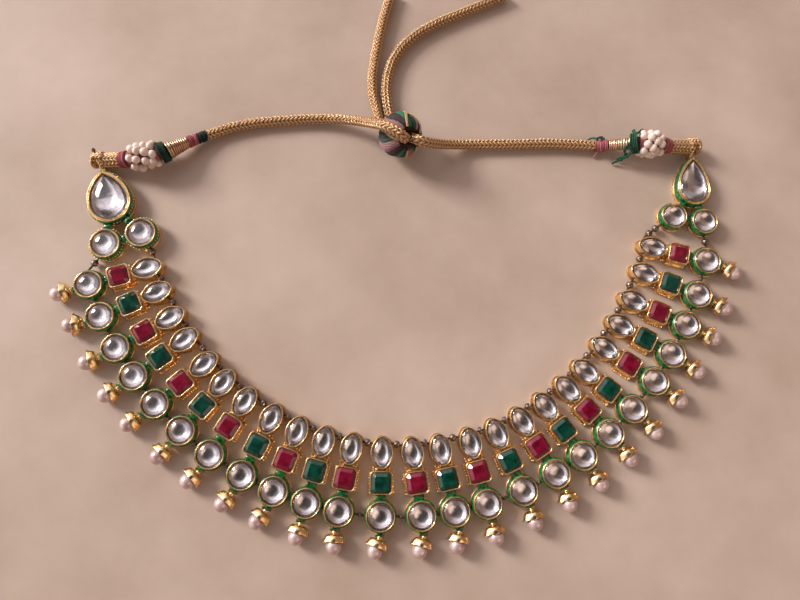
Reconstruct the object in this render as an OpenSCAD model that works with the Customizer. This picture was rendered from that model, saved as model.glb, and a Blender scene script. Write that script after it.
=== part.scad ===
// Kundan necklace as it lies on its back on a flat surface. Twenty-five soldered bars, each
// an oval, a square and a round setting in a row with a pearl drop at its outer end, are
// strung on two threads between two end pieces. A braided tie cord leaves each end piece
// through a wrapped tie, and both cords run through one wound slider.
// z = 0 is the surface, +Y points from the pearls to the tie cords. Millimetres and degrees.

/* [Curve of the necklace] */
// Half width of the ellipse that the oval settings are centred on
curve_rx = 95; // [94:0.5:97]
// Half height of that ellipse
curve_ry = 108; // [107:0.5:111]

/* [Bars] */
// Length of the oval setting, along its bar
oval_long = 10.6; // [10:0.1:10.7]
// Width of the oval setting
oval_wide = 7.6; // [7:0.1:7.7]
// Length and width of the square setting
square_size = 7.6; // [7.2:0.1:8]
// Diameter of the round setting at its base
round_d = 10.5; // [10:0.1:10.5]
// Distance from the middle of the oval to the middle of the square
square_at = 9.4; // [9.3:0.05:9.5]
// Distance from the middle of the oval to the middle of the round
round_at = 19.6; // [19.4:0.1:19.8]
// Height of every setting's wall
wall_h = 4; // [3.8:0.1:4.2]

/* [Pearl drops] */
// Diameter of a pearl
pearl_d = 5; // [4.6:0.1:5.2]
// Width of the petal cap across the bar
cap_w = 7.8; // [7:0.1:8]
// Diameter of the pin that carries the cap and the pearl
pin_d = 0.7; // [0.6:0.05:0.8]

/* [Threads and spacers] */
// Diameter of the two threads
thread_d = 0.8; // [0.6:0.1:0.8]
// Diameter of a spacer bead on the upper thread
spacer_d = 2.5; // [2.3:0.1:2.7]

/* [End pieces] */
// Greatest width of the drop-shaped setting
drop_w = 13.3; // [12.9:0.1:13.5]
// Distance between the middles of the two round settings under it
pair_gap = 11.4; // [11.2:0.1:11.6]
// Thickness of the folded braid that passes through the loop
stub_d = 5.6; // [5.4:0.1:5.8]
// Diameter of the wrap of seed beads
cluster_d = 10.6; // [10:0.1:11]

/* [Tie cords] */
// Diameter of the braided cord
cord_d = 3.6; // [3.4:0.1:3.7]
// Diameter of the wound slider
slider_d = 16; // [15.8:0.1:16.2]

/* [Hidden] */
$fn = 48;

// Middle of the ellipse, placed so that the origin is under the middle of the necklace
mid_x = -1.6;
mid_y = 67.5;

// One row for each bar from left to right: its place round the ellipse, how far it leans
// from square to the ellipse, and how far its pearl drop swings from the bar
PLACE = 0;
LEAN = 1;
SWING = 2;
BARS = [
    [206.0, -6, 0], [211.0, -3, -20], [216.5, -2, -10], [221.5, 0, -8], [227.5, -3, -8],
    [232.5, 2, -3], [238.0, 4, -18], [244.0, 3, -17], [249.5, 3, -20], [255.0, 2, -2],
    [260.5, 0, 8], [266.5, 3, -20], [272.5, 5, -25], [278.0, 4, -25], [284.0, -1, -2],
    [289.5, 2, -10], [295.0, 4, -20], [300.5, 2, -8], [306.0, 3, -9], [311.0, 6, -16],
    [317.0, 5, -9], [322.5, 4, -10], [328.0, 4, -2], [334.0, 1, -12], [339.5, 4, -20]
];
LAST = len(BARS) - 1;

// One row for each end piece: the point between its two round settings, the direction square
// to their line, and its size beside the sizes above. Then its drop: where it is centred and
// how it is turned on the piece, its width as a share of drop_w, and how far its tip reaches
AT = 0;
TURN = 1;
SIZE = 2;
DROP_AT = 3;
DROP_TURN = 4;
DROP_WIDE = 5;
DROP_TIP = 6;
LEFT = 0;
RIGHT = 1;
ENDS = [
    [[-95.7, 30.5], 109, 1.08, [13, 1.2], -1, 1.09, 11.5],
    [[101.6, 40.4], 80, 0.97, [11.8, -0.8], 6, 0.99, 13.6]
];

// Levels inside a setting: base flange, floor of the stone's seat, and underside of the lip
flange_h = 0.6;
seat_h = 2.6;
lip_h = 3.5;
joint_h = 3;
gap = 0.1;

// How far each layer of a setting steps in from its outline
WALL = 0.35;
LIP = 0.2;
SEAT = 0.65;
ROUND_WALL = 0.75;
ROUND_LIP = 0.45;
ROUND_SEAT = 1.15;
DROP_WALL = 0.65;
DROP_LIP = 0.35;
DROP_SEAT = 1.45;
ENAMEL = 0.15;
corner_cut = 0.7;
oval_tip_r = 2.6;

// A joint between two settings ends in the middle of their walls
in_wall = (WALL + SEAT) / 2;
in_round = (ROUND_WALL + ROUND_SEAT) / 2;
in_drop = (DROP_WALL + DROP_SEAT) / 2;
oval_neck_w = 2.6;
round_neck_w = 3.4;
end_neck_w = 2.6;
post_w = 1.8;

// Height of the domes and of the cut stones above the lip
round_rise = 1.3;
oval_rise = 1.2;
drop_rise = 1.9;
drop_dome_r = 24;
drop_dome_at = 1.5;
table_rise = 0.9;
table_w = 4;
corner_w = 5.2;
facet_angle = 36;

// The threads lie below the stones, one across the ovals and one across the rounds, and
// leave each bar clear of its sides
thread_z = 1.7;
upper_at = -2.8;
bore_r = 0.6;
UPPER_OUT = 3.7;
LOWER_OUT = 5.3;
spacer_long = 2.1;

// The pin starts at the end of the tab on the round setting
tab_end = round_at + round_d / 2 + 0.9;
tab_w = 3;
pin_z = 2.6;
pin_root = 0.5;
cap_start = 0.7;
cap_long = 3;
pearl_at = 4.5;

// The head of the pin lies in a recess in the end of the pearl
recess_deep = 0.65;
head_at = pearl_at + pearl_d / 2 - recess_deep + gap;
head_d = 1.4;
head_long = 0.4;

// Loop at the tip of an end piece, on a short post that starts inside the tip
post_in = 1.6;
loop_rise = 3.4;
loop_r = 2.1;
loop_wire_r = 0.45;
loop_z = 3.1;

gold = "goldenrod";
antique = "dimgray";
zari = "tan";
rose = "palevioletred";
moss = "darkgreen";

// One row for each piece of a wrapped tie, from the folded braid to the cord: where it
// starts, and its diameters at its start and at its end
FROM = 0;
START_D = 1;
END_D = 2;
LEFT_TIE = [
    [[-109.3, 58.8, 2.9], stub_d, stub_d], [[-98.8, 58.7, 4.2], 5.6, 6],
    [[-96, 58.7, 5.2], 6.4, 6.4], [[-85.3, 60.9, 5.7], 8, 7.4],
    [[-83, 62.1, 5], 7, 4], [[-76.6, 66.5, 3.2], 4.2, 4],
    [[-73.8, 68, 2.7], 4, 3.8], [[-70.8, 69.7, 2.1], cord_d, cord_d]
];
RIGHT_TIE = [
    [[108.4, 68.1, 2.9], stub_d, stub_d], [[96.4, 67.8, 4], 5.6, 6],
    [[93.1, 67.7, 5.2], 6.4, 6.4], [[84.4, 67.9, 5.8], 8, 7.6],
    [[82, 68, 5], 5, 4.2], [[74.4, 68.3, 3], 4.4, 4],
    [[70.2, 68.4, 2.1], cord_d, cord_d]
];

// Routes of the two cords, from the wrapped tie, over the slider, down through it and out
// along the surface
LEFT_ROUTE = [
    [-70.4, 69.9, 2], [-62.4, 73.1, 1.9], [-53.4, 75.1, 1.9], [-44.4, 76.1, 1.9], [-35.4, 76.9, 1.9],
    [-27.4, 77, 2.4], [-20.4, 75.7, 4.2], [-15.4, 73.7, 7], [-11.6, 71, 11], [-9.4, 68.9, 14.4],
    [-6.9, 66.9, 16.8], [-4.2, 65.4, 17.3], [-2, 64.1, 17], [-1, 63.6, 16.5],
    [-0.3, 63.5, 15.6], [-0.1, 63.7, 14.4], [-0.4, 64.3, 13.5], [-1.1, 65.2, 12.3],
    [-3.4, 68, 8.8], [-5.6, 70.8, 5.3], [-6.3, 71.7, 4.3], [-7.1, 72.6, 3.4],
    [-8.1, 73.8, 2.9], [-9, 75.7, 2.6], [-9.6, 78.1, 2.3], [-10.4, 82.1, 1.9],
    [-11.7, 87.1, 1.9], [-11.9, 94.1, 1.9], [-10.9, 102.1, 1.9], [-9.6, 110.1, 1.9],
    [-8, 118.1, 1.9], [-6.2, 125.1, 1.9], [-4.6, 130.5, 1.9]
];
RIGHT_ROUTE = [
    [69.8, 68.4, 2], [61.6, 68.9, 1.9], [52.6, 69.1, 1.9], [43.6, 68.7, 1.9], [34.6, 68.3, 1.9],
    [26.6, 68.1, 1.9], [19.6, 67.5, 2.9], [13.6, 66.3, 5.4], [10.4, 64.9, 8.6], [8.2, 64, 10.9],
    [6, 63.7, 12.5], [4.3, 64.1, 12.8], [3.1, 65, 11.9], [2.3, 66, 10.7],
    [0, 68.8, 7.2], [-2.3, 71.6, 3.7], [-3.1, 72.6, 2.5], [-3.6, 73.4, 2],
    [-4.3, 75, 1.9], [-5.1, 77.5, 1.9], [-6.1, 82.1, 1.9], [-6.8, 88.7, 1.9],
    [-6.3, 94.7, 1.9], [-4.5, 101.1, 1.9], [-0.9, 107.3, 1.9], [5.1, 113.1, 1.9],
    [12.8, 117.9, 1.9], [23, 122.9, 1.9], [33.4, 127.7, 1.9], [39.2, 130.5, 1.9]
];

// The slider lies so that one end of its slot faces up and to the right. The slot takes the
// cords side by side and widens to a round mouth at each end
slider_at = [-1.7, 68.4, 8];
slider_tilt = 46;
slider_heading = -51;
slider_spin = 54;
slot_offset = 1.9;
slot_r = cord_d / 2 + 0.2;
mouth_r = 5;
mouth_at = 9.5;

function on_curve(place) = [mid_x + curve_rx * cos(place), mid_y + curve_ry * sin(place)];
function outward(place) = atan2(curve_rx * sin(place), curve_ry * cos(place));
function bar_turn(i) = outward(BARS[i][PLACE]) + BARS[i][LEAN];
function turned(p, a) = [p.x * cos(a) - p.y * sin(a), p.x * sin(a) + p.y * cos(a)];
function bar_point(i, p) = on_curve(BARS[i][PLACE]) + turned(p, bar_turn(i));
function end_point(side, p) = ENDS[side][AT] + ENDS[side][SIZE] * turned(p, ENDS[side][TURN]);
function up_to(p, z) = [p.x, p.y, z];
function unit(v) = v / norm(v);

// Puts a shape that is drawn along +X on bar number i
module on_bar(i) {
    translate(on_curve(BARS[i][PLACE])) rotate([0, 0, bar_turn(i)]) children();
}

// Puts a shape that is drawn along +Z on the pearl drop of bar number i
module on_drop(i) {
    on_bar(i) translate([tab_end, 0, pin_z]) rotate([0, 0, BARS[i][SWING]])
        rotate([0, 90, 0]) children();
}

// Puts a shape whose tip points along +X on an end piece
module on_end(side) {
    translate(ENDS[side][AT]) rotate([0, 0, ENDS[side][TURN]]) scale(ENDS[side][SIZE])
        children();
}

// Puts a shape on the drop of an end piece, whose middle is the origin and tip along +X
module on_end_drop(side) {
    translate(ENDS[side][DROP_AT]) rotate([0, 0, ENDS[side][DROP_TURN]]) children();
}

// Puts a shape that is drawn along +Z on the line from a to b
module between(a, b) {
    run = b - a;
    translate(a) rotate([0, acos(run.z / norm(run)), atan2(run.y, run.x)]) children();
}

// Outline of an oval from four arcs
module oval_outline(inset) {
    long_r = oval_long / 2 - oval_tip_r;
    wide_r = oval_wide / 2;
    side_r = (long_r ^ 2 + wide_r ^ 2 - oval_tip_r ^ 2) / (2 * (wide_r - oval_tip_r));
    join_x = (side_r - inset) * long_r / (side_r - oval_tip_r);
    for (end = [-1, 1]) translate([end * long_r, 0]) circle(r = oval_tip_r - inset);
    intersection() {
        translate([0, side_r - wide_r]) circle(r = side_r - inset);
        translate([0, wide_r - side_r]) circle(r = side_r - inset);
        square([2 * join_x, oval_wide], center = true);
    }
}

// Outline of a drop with its tip along +X, from a circle and two arcs
function drop_r(side) = ENDS[side][DROP_WIDE] * drop_w / 2;
module drop_outline(side, inset) {
    r = drop_r(side);
    tip = ENDS[side][DROP_TIP];
    side_r = (tip ^ 2 + r ^ 2) / (2 * r);
    circle(r = r - inset);
    intersection() {
        translate([0, side_r - r]) circle(r = side_r - inset);
        translate([0, r - side_r]) circle(r = side_r - inset);
        translate([0, -r]) square([tip, 2 * r]);
    }
}

module square_outline(inset) {
    s = square_size / 2 - inset;
    c = corner_cut;
    polygon([[s, s - c], [s - c, s], [c - s, s], [-s, s - c],
        [-s, c - s], [c - s, -s], [s - c, -s], [s, c - s]]);
}

module outline(form, inset) {
    if (form == "oval") oval_outline(inset);
    if (form == "square") square_outline(inset);
    if (form == "round") circle(r = round_d / 2 - inset);
    if (form == "left drop") drop_outline(LEFT, inset);
    if (form == "right drop") drop_outline(RIGHT, inset);
}

// A closed-back setting: base flange, wall, lip, and the seat cut into it
module bezel(form, wall, lip, seat) {
    difference() {
        union() {
            linear_extrude(flange_h) outline(form, 0);
            linear_extrude(wall_h - gap) outline(form, wall);
            translate([0, 0, lip_h]) linear_extrude(wall_h - lip_h) outline(form, lip);
        }
        translate([0, 0, seat_h]) linear_extrude(wall_h) outline(form, seat);
    }
}

// A bar that joins two settings below their enamel, from x = start to x = stop. The space
// for it in the enamel is larger by the clearance
module joint(start, stop, wide, clearance = 0) {
    translate([start, -wide / 2 - clearance, 0])
        cube([stop - start, wide + 2 * clearance, joint_h + clearance]);
}

// A bore across the bar for a thread
module thread_bore(at) {
    translate([at, 0, thread_z]) rotate([90, 0, 0])
        cylinder(h = 2 * round_d, r = bore_r, center = true);
}

module drop_pin() {
    translate([0, 0, -pin_root]) cylinder(h = pin_root + head_at + gap, d = pin_d);
    translate([0, 0, head_at]) cylinder(h = head_long, d = head_d);
}

module bar_setting(i) {
    color(gold) {
        difference() {
            on_bar(i) {
                bezel("oval", WALL, LIP, SEAT);
                translate([square_at, 0]) bezel("square", WALL, LIP, SEAT);
                translate([round_at, 0]) bezel("round", ROUND_WALL, ROUND_LIP, ROUND_SEAT);
                joint(oval_long / 2 - in_wall, square_at - square_size / 2 + in_wall,
                    oval_neck_w);
                joint(square_at + square_size / 2 - in_wall,
                    round_at - round_d / 2 + in_round, round_neck_w);
                joint(round_at + round_d / 2 - in_round, tab_end, tab_w);
            }
            on_bar(i) {
                thread_bore(upper_at);
                thread_bore(round_at);
            }
        }
        on_drop(i) drop_pin();
    }
}

// Enamel round the wall of a round setting, open below for the joints at the given turns
module enamel_band(turns) {
    difference() {
        translate([0, 0, flange_h + gap]) linear_extrude(lip_h - flange_h - 2 * gap)
            difference() {
                circle(r = round_d / 2 - ENAMEL);
                circle(r = round_d / 2 - ROUND_WALL + gap);
            }
        for (turn = turns) rotate([0, 0, turn]) translate([0, -round_neck_w / 2 - gap, 0])
            cube([round_d, round_neck_w + 2 * gap, joint_h + gap]);
    }
}

// Enamel on top of a joint, from x = start to x = stop
module enamel_pad(start, stop, wide) {
    translate([start, -wide / 2, joint_h + gap])
        cube([stop - start, wide, lip_h - joint_h - 2 * gap]);
}

module bar_enamel() {
    color("seagreen") for (i = [0 : LAST]) on_bar(i) difference() {
        union() {
            translate([round_at, 0]) enamel_band([0, 180]);
            enamel_pad(square_at + square_size / 2 - gap, round_at - round_d / 2 + 4 * gap,
                round_neck_w);
            enamel_pad(round_at + round_d / 2 - 4 * gap, tab_end - pin_root - gap, tab_w);
        }
        thread_bore(round_at);
    }
}

// A smooth stone with straight sides and a round dome
module round_stone() {
    r = round_d / 2 - ROUND_SEAT - gap;
    dome_r = (r ^ 2 + round_rise ^ 2) / (2 * round_rise);
    intersection() {
        translate([0, 0, seat_h + gap]) cylinder(h = wall_h, r = r);
        translate([0, 0, wall_h + round_rise - dome_r]) sphere(r = dome_r);
    }
}

// A smooth oval stone. Its dome is turned round a line under the stone, so that it meets
// the straight sides at one level
module oval_stone() {
    half_w = oval_wide / 2 - SEAT - gap;
    half_l = oval_long / 2 - SEAT - gap;
    turn_r = (half_w ^ 2 + oval_rise ^ 2) / (2 * oval_rise);
    long_r = (half_l ^ 2 + oval_rise ^ 2) / (2 * oval_rise);
    intersection() {
        translate([0, 0, seat_h + gap]) linear_extrude(wall_h) oval_outline(SEAT + gap);
        translate([0, 0, wall_h + oval_rise - turn_r]) rotate([0, 90, 0]) rotate_extrude()
            intersection() {
                translate([turn_r - long_r, 0]) circle(r = long_r);
                translate([0, -oval_long]) square(2 * oval_long);
            }
    }
}

// A cut stone: straight girdle, eight sloping facets and a flat table
module cut_stone() {
    difference() {
        translate([0, 0, seat_h + gap])
            linear_extrude(wall_h + table_rise - seat_h - gap) square_outline(SEAT + gap);
        for (turn = [0 : 90 : 270]) rotate([0, 0, turn])
            translate([table_w / 2, -square_size, wall_h + table_rise])
                rotate([0, facet_angle, 0])
                    cube([2 * square_size, 2 * square_size, square_size]);
        for (turn = [45 : 90 : 315]) rotate([0, 0, turn])
            translate([corner_w / 2, -square_size, wall_h + table_rise])
                rotate([0, facet_angle, 0])
                    cube([2 * square_size, 2 * square_size, square_size]);
    }
}

module drop_stone(side) {
    color("gainsboro") on_end(side) on_end_drop(side) intersection() {
        translate([0, 0, seat_h + gap]) linear_extrude(wall_h)
            drop_outline(side, DROP_SEAT + gap);
        translate([drop_dome_at, 0, wall_h + drop_rise - drop_dome_r])
            sphere(r = drop_dome_r, $fn = 96);
    }
}

module oval_stones() {
    color("gainsboro") for (i = [0 : LAST]) on_bar(i) oval_stone();
}

// Every other square stone is a ruby, starting with the first bar
module square_stones(first, tint) {
    color(tint) for (i = [first : 2 : LAST]) on_bar(i) translate([square_at, 0]) cut_stone();
}

module round_stones() {
    color("gainsboro") {
        for (i = [0 : LAST]) on_bar(i) translate([round_at, 0]) round_stone();
        for (side = [LEFT, RIGHT], hand = [-1, 1])
            on_end(side) translate([0, hand * pair_gap / 2]) round_stone();
    }
}

// Four petals that flare from a neck. The two beside the bar are longer than the two that
// point up and down
module petal_cap() {
    petal_r = 1.6;
    intersection() {
        rotate_extrude() polygon([[0.5, 0], [1.2, 0], [1.9, 0.5], [2.5, 1.3], [2.8, 1.9],
            [cap_w / 2, 2.5], [cap_w / 2, 2.8], [2.6, 2.3], [2.2, 1.5], [1.5, 0.8], [0.5, 0.6]]);
        linear_extrude(cap_long) {
            circle(r = 2);
            for (hand = [-1, 1]) {
                translate([0, hand * (cap_w / 2 - petal_r)]) circle(r = petal_r);
                translate([hand * (pin_z - petal_r), 0]) circle(r = petal_r);
            }
        }
    }
}

module petal_caps() {
    color(gold) for (i = [0 : LAST]) on_drop(i) translate([0, 0, cap_start]) petal_cap();
}

module pearls() {
    color("mistyrose") for (i = [0 : LAST]) on_drop(i) translate([0, 0, pearl_at])
        difference() {
            sphere(d = pearl_d);
            cylinder(h = 2 * pearl_d, d = pin_d + 3 * gap, center = true);
            translate([0, 0, pearl_d / 2 - recess_deep])
                cylinder(h = pearl_d, d = head_d + 3 * gap);
        }
}

// Where a thread leaves the side of a bar: hand is 1 on the side of the next bar
function thread_point(i, at, hand, out) = up_to(bar_point(i, [at, hand * out]), thread_z);

// Routes of the threads: from one end piece through every bar to the other
function thread_route(at, out, first, last) = concat(
    [first],
    [for (i = [0 : LAST], hand = [-1, 1]) thread_point(i, at, hand, out)],
    [last]
);
function pair_point(side, hand, in) =
    up_to(end_point(side, [0, hand * pair_gap / 2]) + in, thread_z);

UPPER_ROUTE = thread_route(upper_at, UPPER_OUT,
    pair_point(LEFT, -1, [1.2, -1.6]), pair_point(RIGHT, 1, [-1.8, -0.9]));
LOWER_ROUTE = thread_route(round_at, LOWER_OUT,
    pair_point(LEFT, 1, [-0.4, -1.9]), pair_point(RIGHT, -1, [-0.2, -2]));

// A bead with flat ends on the line from a to b, centred a given share of the way along
module spacer(a, b, share, long) {
    between(a, b) translate([0, 0, share * norm(b - a)]) difference() {
        intersection() {
            sphere(d = spacer_d);
            cube([spacer_d, spacer_d, long], center = true);
        }
        cylinder(h = spacer_d, d = thread_d + 4 * gap, center = true);
    }
}

// Spacers between the end pieces and the first and last bars: which thread, which stretch
// of it, and how far along that stretch
THREAD = 0;
STRETCH = 1;
SHARE = 2;
LAST_STRETCH = len(UPPER_ROUTE) - 2;
END_SPACERS = [
    [UPPER_ROUTE, 0, 0.7], [LOWER_ROUTE, 0, 0.62], [LOWER_ROUTE, LAST_STRETCH, 0.3],
    [UPPER_ROUTE, LAST_STRETCH, 0.2], [UPPER_ROUTE, LAST_STRETCH, 0.48]
];

module spacer_beads() {
    color(antique) {
        for (i = [0 : LAST - 1]) {
            a = UPPER_ROUTE[2 * i + 2];
            b = UPPER_ROUTE[2 * i + 3];
            spacer(a, b, 0.5, min(spacer_long, norm(b - a) - 6 * gap));
        }
        for (row = END_SPACERS)
            spacer(row[THREAD][row[STRETCH]], row[THREAD][row[STRETCH] + 1], row[SHARE],
                spacer_long);
    }
}

// A tube along a route. Each ring stands square to the route, and starts where the last
// one did, so that the tube does not twist
function heading(route, i) =
    unit(route[min(i + 1, len(route) - 1)] - route[max(i - 1, 0)]);
function ring_starts(route, i, start) = i == len(route) ? [] :
    let (along = heading(route, i), side = unit(start - (start * along) * along))
    concat([side], ring_starts(route, i + 1, side));

module tube(route, r, sides) {
    starts = ring_starts(route, 0, [0.1, 0.2, 1]);
    last = len(route) - 1;
    points = [for (i = [0 : last], k = [0 : sides - 1])
        let (across = cross(heading(route, i), starts[i]), turn = 360 * k / sides)
        route[i] + r * (cos(turn) * starts[i] + sin(turn) * across)];
    faces = concat(
        [[for (k = [0 : sides - 1]) k]],
        [for (i = [0 : last - 1], k = [0 : sides - 1]) [i * sides + k, (i + 1) * sides + k,
            (i + 1) * sides + (k + 1) % sides, i * sides + (k + 1) % sides]],
        [[for (k = [sides - 1 : -1 : 0]) last * sides + k]]
    );
    polyhedron(points, faces);
}

module upper_thread() {
    color("saddlebrown") tube(UPPER_ROUTE, thread_d / 2, 6);
}

module lower_thread() {
    color("saddlebrown") tube(LOWER_ROUTE, thread_d / 2, 6);
}

// The joints of an end piece: between its two rounds, from each of them to the drop, and
// from the drop's tip to the loop
module end_joints(side, clearance = 0) {
    start = round_d / 2 - in_round;
    translate([0, -pair_gap / 2]) rotate([0, 0, 90])
        joint(start, pair_gap - start, end_neck_w, clearance);
    for (hand = [-1, 1]) {
        run = ENDS[side][DROP_AT] - [0, hand * pair_gap / 2];
        translate([0, hand * pair_gap / 2]) rotate([0, 0, atan2(run.y, run.x)])
            joint(start, norm(run) - drop_r(side) + in_drop, end_neck_w, clearance);
    }
    on_end_drop(side) translate([ENDS[side][DROP_TIP], 0])
        joint(-post_in, loop_rise - loop_r + loop_wire_r / 2, post_w, clearance);
}

// Bores in the two rounds of an end piece for the ends of the threads
module end_bores(side) {
    for (route = [UPPER_ROUTE, LOWER_ROUTE])
        between(route[side * (LAST_STRETCH + 1)], route[side * LAST_STRETCH + 1 - side])
            translate([0, 0, -gap]) cylinder(h = round_d / 2, r = bore_r);
}

module end_setting(side) {
    color(gold) difference() {
        on_end(side) {
            on_end_drop(side) bezel(side == LEFT ? "left drop" : "right drop",
                DROP_WALL, DROP_LIP, DROP_SEAT);
            for (hand = [-1, 1]) translate([0, hand * pair_gap / 2])
                bezel("round", ROUND_WALL, ROUND_LIP, ROUND_SEAT);
            end_joints(side);
            on_end_drop(side) translate([ENDS[side][DROP_TIP] + loop_rise, 0, loop_z])
                rotate([90, 0, 0]) rotate_extrude() translate([loop_r, 0])
                    circle(r = loop_wire_r);
        }
        end_bores(side);
    }
}

module end_enamel() {
    color("seagreen") for (side = [LEFT, RIGHT]) difference() {
        on_end(side) difference() {
            union() {
                for (hand = [-1, 1]) translate([0, hand * pair_gap / 2]) enamel_band([]);
                on_end_drop(side) translate([0, 0, flange_h + gap])
                    linear_extrude(lip_h - flange_h - 2 * gap) difference() {
                        drop_outline(side, ENAMEL);
                        drop_outline(side, DROP_WALL - gap);
                    }
            }
            end_joints(side, gap);
        }
        end_bores(side);
    }
}

// Length of piece k of a tie. It stops short of the next piece by a gap, and by what the
// bend between the two needs
function tie_run(tie, k) = tie[k + 1][FROM] - tie[k][FROM];
function tie_bend(tie, k) = k + 2 < len(tie) ?
    asin(norm(cross(unit(tie_run(tie, k)), unit(tie_run(tie, k + 1))))) : 0;
function tie_long(tie, k) = norm(tie_run(tie, k)) - 2 * gap
    - min(tie[k][END_D], tie[k + 1][START_D]) / 2 * tan(tie_bend(tie, k));

// Braid folded back through the loop: thick part, neck in the loop, and folded end
module braid_stub(tie) {
    long = tie_long(tie, 0);
    color(zari) between(tie[0][FROM], tie[1][FROM]) rotate_extrude() polygon([[0, 0],
        [1.9, 0], [stub_d / 2, 0.6], [stub_d / 2, 1], [1.2, 1.8], [1.2, 4.2],
        [stub_d / 2, 5.2], [stub_d / 2, long], [0, long]]);
}

// A wrap or a cone: row k of a tie
module wrap(tie, k) {
    between(tie[k][FROM], tie[k + 1][FROM])
        cylinder(h = tie_long(tie, k), d1 = tie[k][START_D], d2 = tie[k][END_D]);
}

// The wrap of seed beads, row k of a tie, swells between its two ends
module bead_cluster(tie, k) {
    long = tie_long(tie, k);
    color("linen") between(tie[k][FROM], tie[k + 1][FROM])
        rotate_extrude() polygon([[0, 0], [tie[k][START_D] / 2, 0],
            [cluster_d / 2, long * 0.3], [cluster_d / 2, long * 0.7],
            [tie[k][END_D] / 2, long], [0, long]]);
}

module left_cord() {
    color(zari) tube(LEFT_ROUTE, cord_d / 2, 8);
}

module right_cord() {
    color(zari) tube(RIGHT_ROUTE, cord_d / 2, 8);
}

// A wound ball with a slot through it for the two cords side by side
module slider() {
    color("mediumseagreen") translate(slider_at) rotate([0, slider_tilt, slider_heading])
        rotate([0, 0, slider_spin]) difference() {
            sphere(d = slider_d);
            for (hand = [-1, 1]) {
                translate([hand * slot_offset, 0])
                    cylinder(h = slider_d, r = slot_r, center = true);
                translate([0, 0, hand * mouth_at]) sphere(r = mouth_r);
            }
            cube([2 * slot_offset, 2 * slot_r, slider_d], center = true);
        }
}

bar_setting(0);  // bar_setting_01
bar_setting(1);  // bar_setting_02
bar_setting(2);  // bar_setting_03
bar_setting(3);  // bar_setting_04
bar_setting(4);  // bar_setting_05
bar_setting(5);  // bar_setting_06
bar_setting(6);  // bar_setting_07
bar_setting(7);  // bar_setting_08
bar_setting(8);  // bar_setting_09
bar_setting(9);  // bar_setting_10
bar_setting(10);  // bar_setting_11
bar_setting(11);  // bar_setting_12
bar_setting(12);  // bar_setting_13
bar_setting(13);  // bar_setting_14
bar_setting(14);  // bar_setting_15
bar_setting(15);  // bar_setting_16
bar_setting(16);  // bar_setting_17
bar_setting(17);  // bar_setting_18
bar_setting(18);  // bar_setting_19
bar_setting(19);  // bar_setting_20
bar_setting(20);  // bar_setting_21
bar_setting(21);  // bar_setting_22
bar_setting(22);  // bar_setting_23
bar_setting(23);  // bar_setting_24
bar_setting(24);  // bar_setting_25
end_setting(LEFT);  // left_end_setting
end_setting(RIGHT);  // right_end_setting
oval_stones();
square_stones(0, "crimson");  // ruby_stones
square_stones(1, "darkslategray");  // emerald_stones
round_stones();
drop_stone(LEFT);  // left_drop_stone
drop_stone(RIGHT);  // right_drop_stone
bar_enamel();
end_enamel();
petal_caps();
pearls();
spacer_beads();
upper_thread();
lower_thread();
braid_stub(LEFT_TIE);  // left_braid_stub
color(rose) wrap(LEFT_TIE, 1);  // left_pink_wrap
bead_cluster(LEFT_TIE, 2);  // left_bead_cluster
color(moss) wrap(LEFT_TIE, 3);  // left_green_wrap
color(gold) wrap(LEFT_TIE, 4);  // left_wire_cone
color(rose) wrap(LEFT_TIE, 5);  // left_pink_tie
color(moss) wrap(LEFT_TIE, 6);  // left_green_knot
braid_stub(RIGHT_TIE);  // right_braid_stub
color(rose) wrap(RIGHT_TIE, 1);  // right_pink_wrap
bead_cluster(RIGHT_TIE, 2);  // right_bead_cluster
color(moss) wrap(RIGHT_TIE, 3);  // right_green_wrap
color(gold) wrap(RIGHT_TIE, 4);  // right_wire_coil
color(rose) wrap(RIGHT_TIE, 5);  // right_pink_tie
left_cord();
right_cord();
slider();
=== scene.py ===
# A kundan necklace that lies on its back: stone-set bars with pearl drops on two threads, two
# end pieces, two wrapped ties, and two braided cords that share one wound slider.
# Sizes are in millimetres until a mesh is made. +X is right, +Y points to the cords, +Z is up.
from math import acos, asin, atan2, cos, degrees, pi, radians, sin, sqrt

import bpy
import numpy as np
from mathutils import Matrix, Vector


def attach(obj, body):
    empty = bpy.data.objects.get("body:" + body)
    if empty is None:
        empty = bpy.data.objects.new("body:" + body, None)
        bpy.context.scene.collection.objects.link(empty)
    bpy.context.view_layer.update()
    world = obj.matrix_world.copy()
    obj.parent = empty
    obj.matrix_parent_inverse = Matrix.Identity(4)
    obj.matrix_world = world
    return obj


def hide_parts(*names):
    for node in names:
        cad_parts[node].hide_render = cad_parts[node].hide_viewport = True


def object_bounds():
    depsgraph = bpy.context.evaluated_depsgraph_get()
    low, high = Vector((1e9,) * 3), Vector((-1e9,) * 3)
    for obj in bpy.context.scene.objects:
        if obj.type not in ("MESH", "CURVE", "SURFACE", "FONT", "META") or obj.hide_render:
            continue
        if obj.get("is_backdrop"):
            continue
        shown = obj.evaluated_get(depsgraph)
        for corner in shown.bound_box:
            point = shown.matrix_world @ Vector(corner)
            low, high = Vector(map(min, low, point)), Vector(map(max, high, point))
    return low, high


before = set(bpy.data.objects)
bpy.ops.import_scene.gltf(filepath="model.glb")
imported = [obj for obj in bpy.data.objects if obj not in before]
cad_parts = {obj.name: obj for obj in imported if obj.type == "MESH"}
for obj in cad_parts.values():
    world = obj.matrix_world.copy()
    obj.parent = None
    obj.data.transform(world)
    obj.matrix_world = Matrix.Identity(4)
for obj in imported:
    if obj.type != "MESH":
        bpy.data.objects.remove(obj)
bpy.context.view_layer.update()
MM = 0.001

# The camera hangs a hand's length above the necklace and looks down at it, a little from
# below the pearls, as the photo was taken.
CAMERA_AT, CAMERA_TILT, CAMERA_ROLL = (-9.4, -31.7, 202.6), 11.793, -2.257


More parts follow.
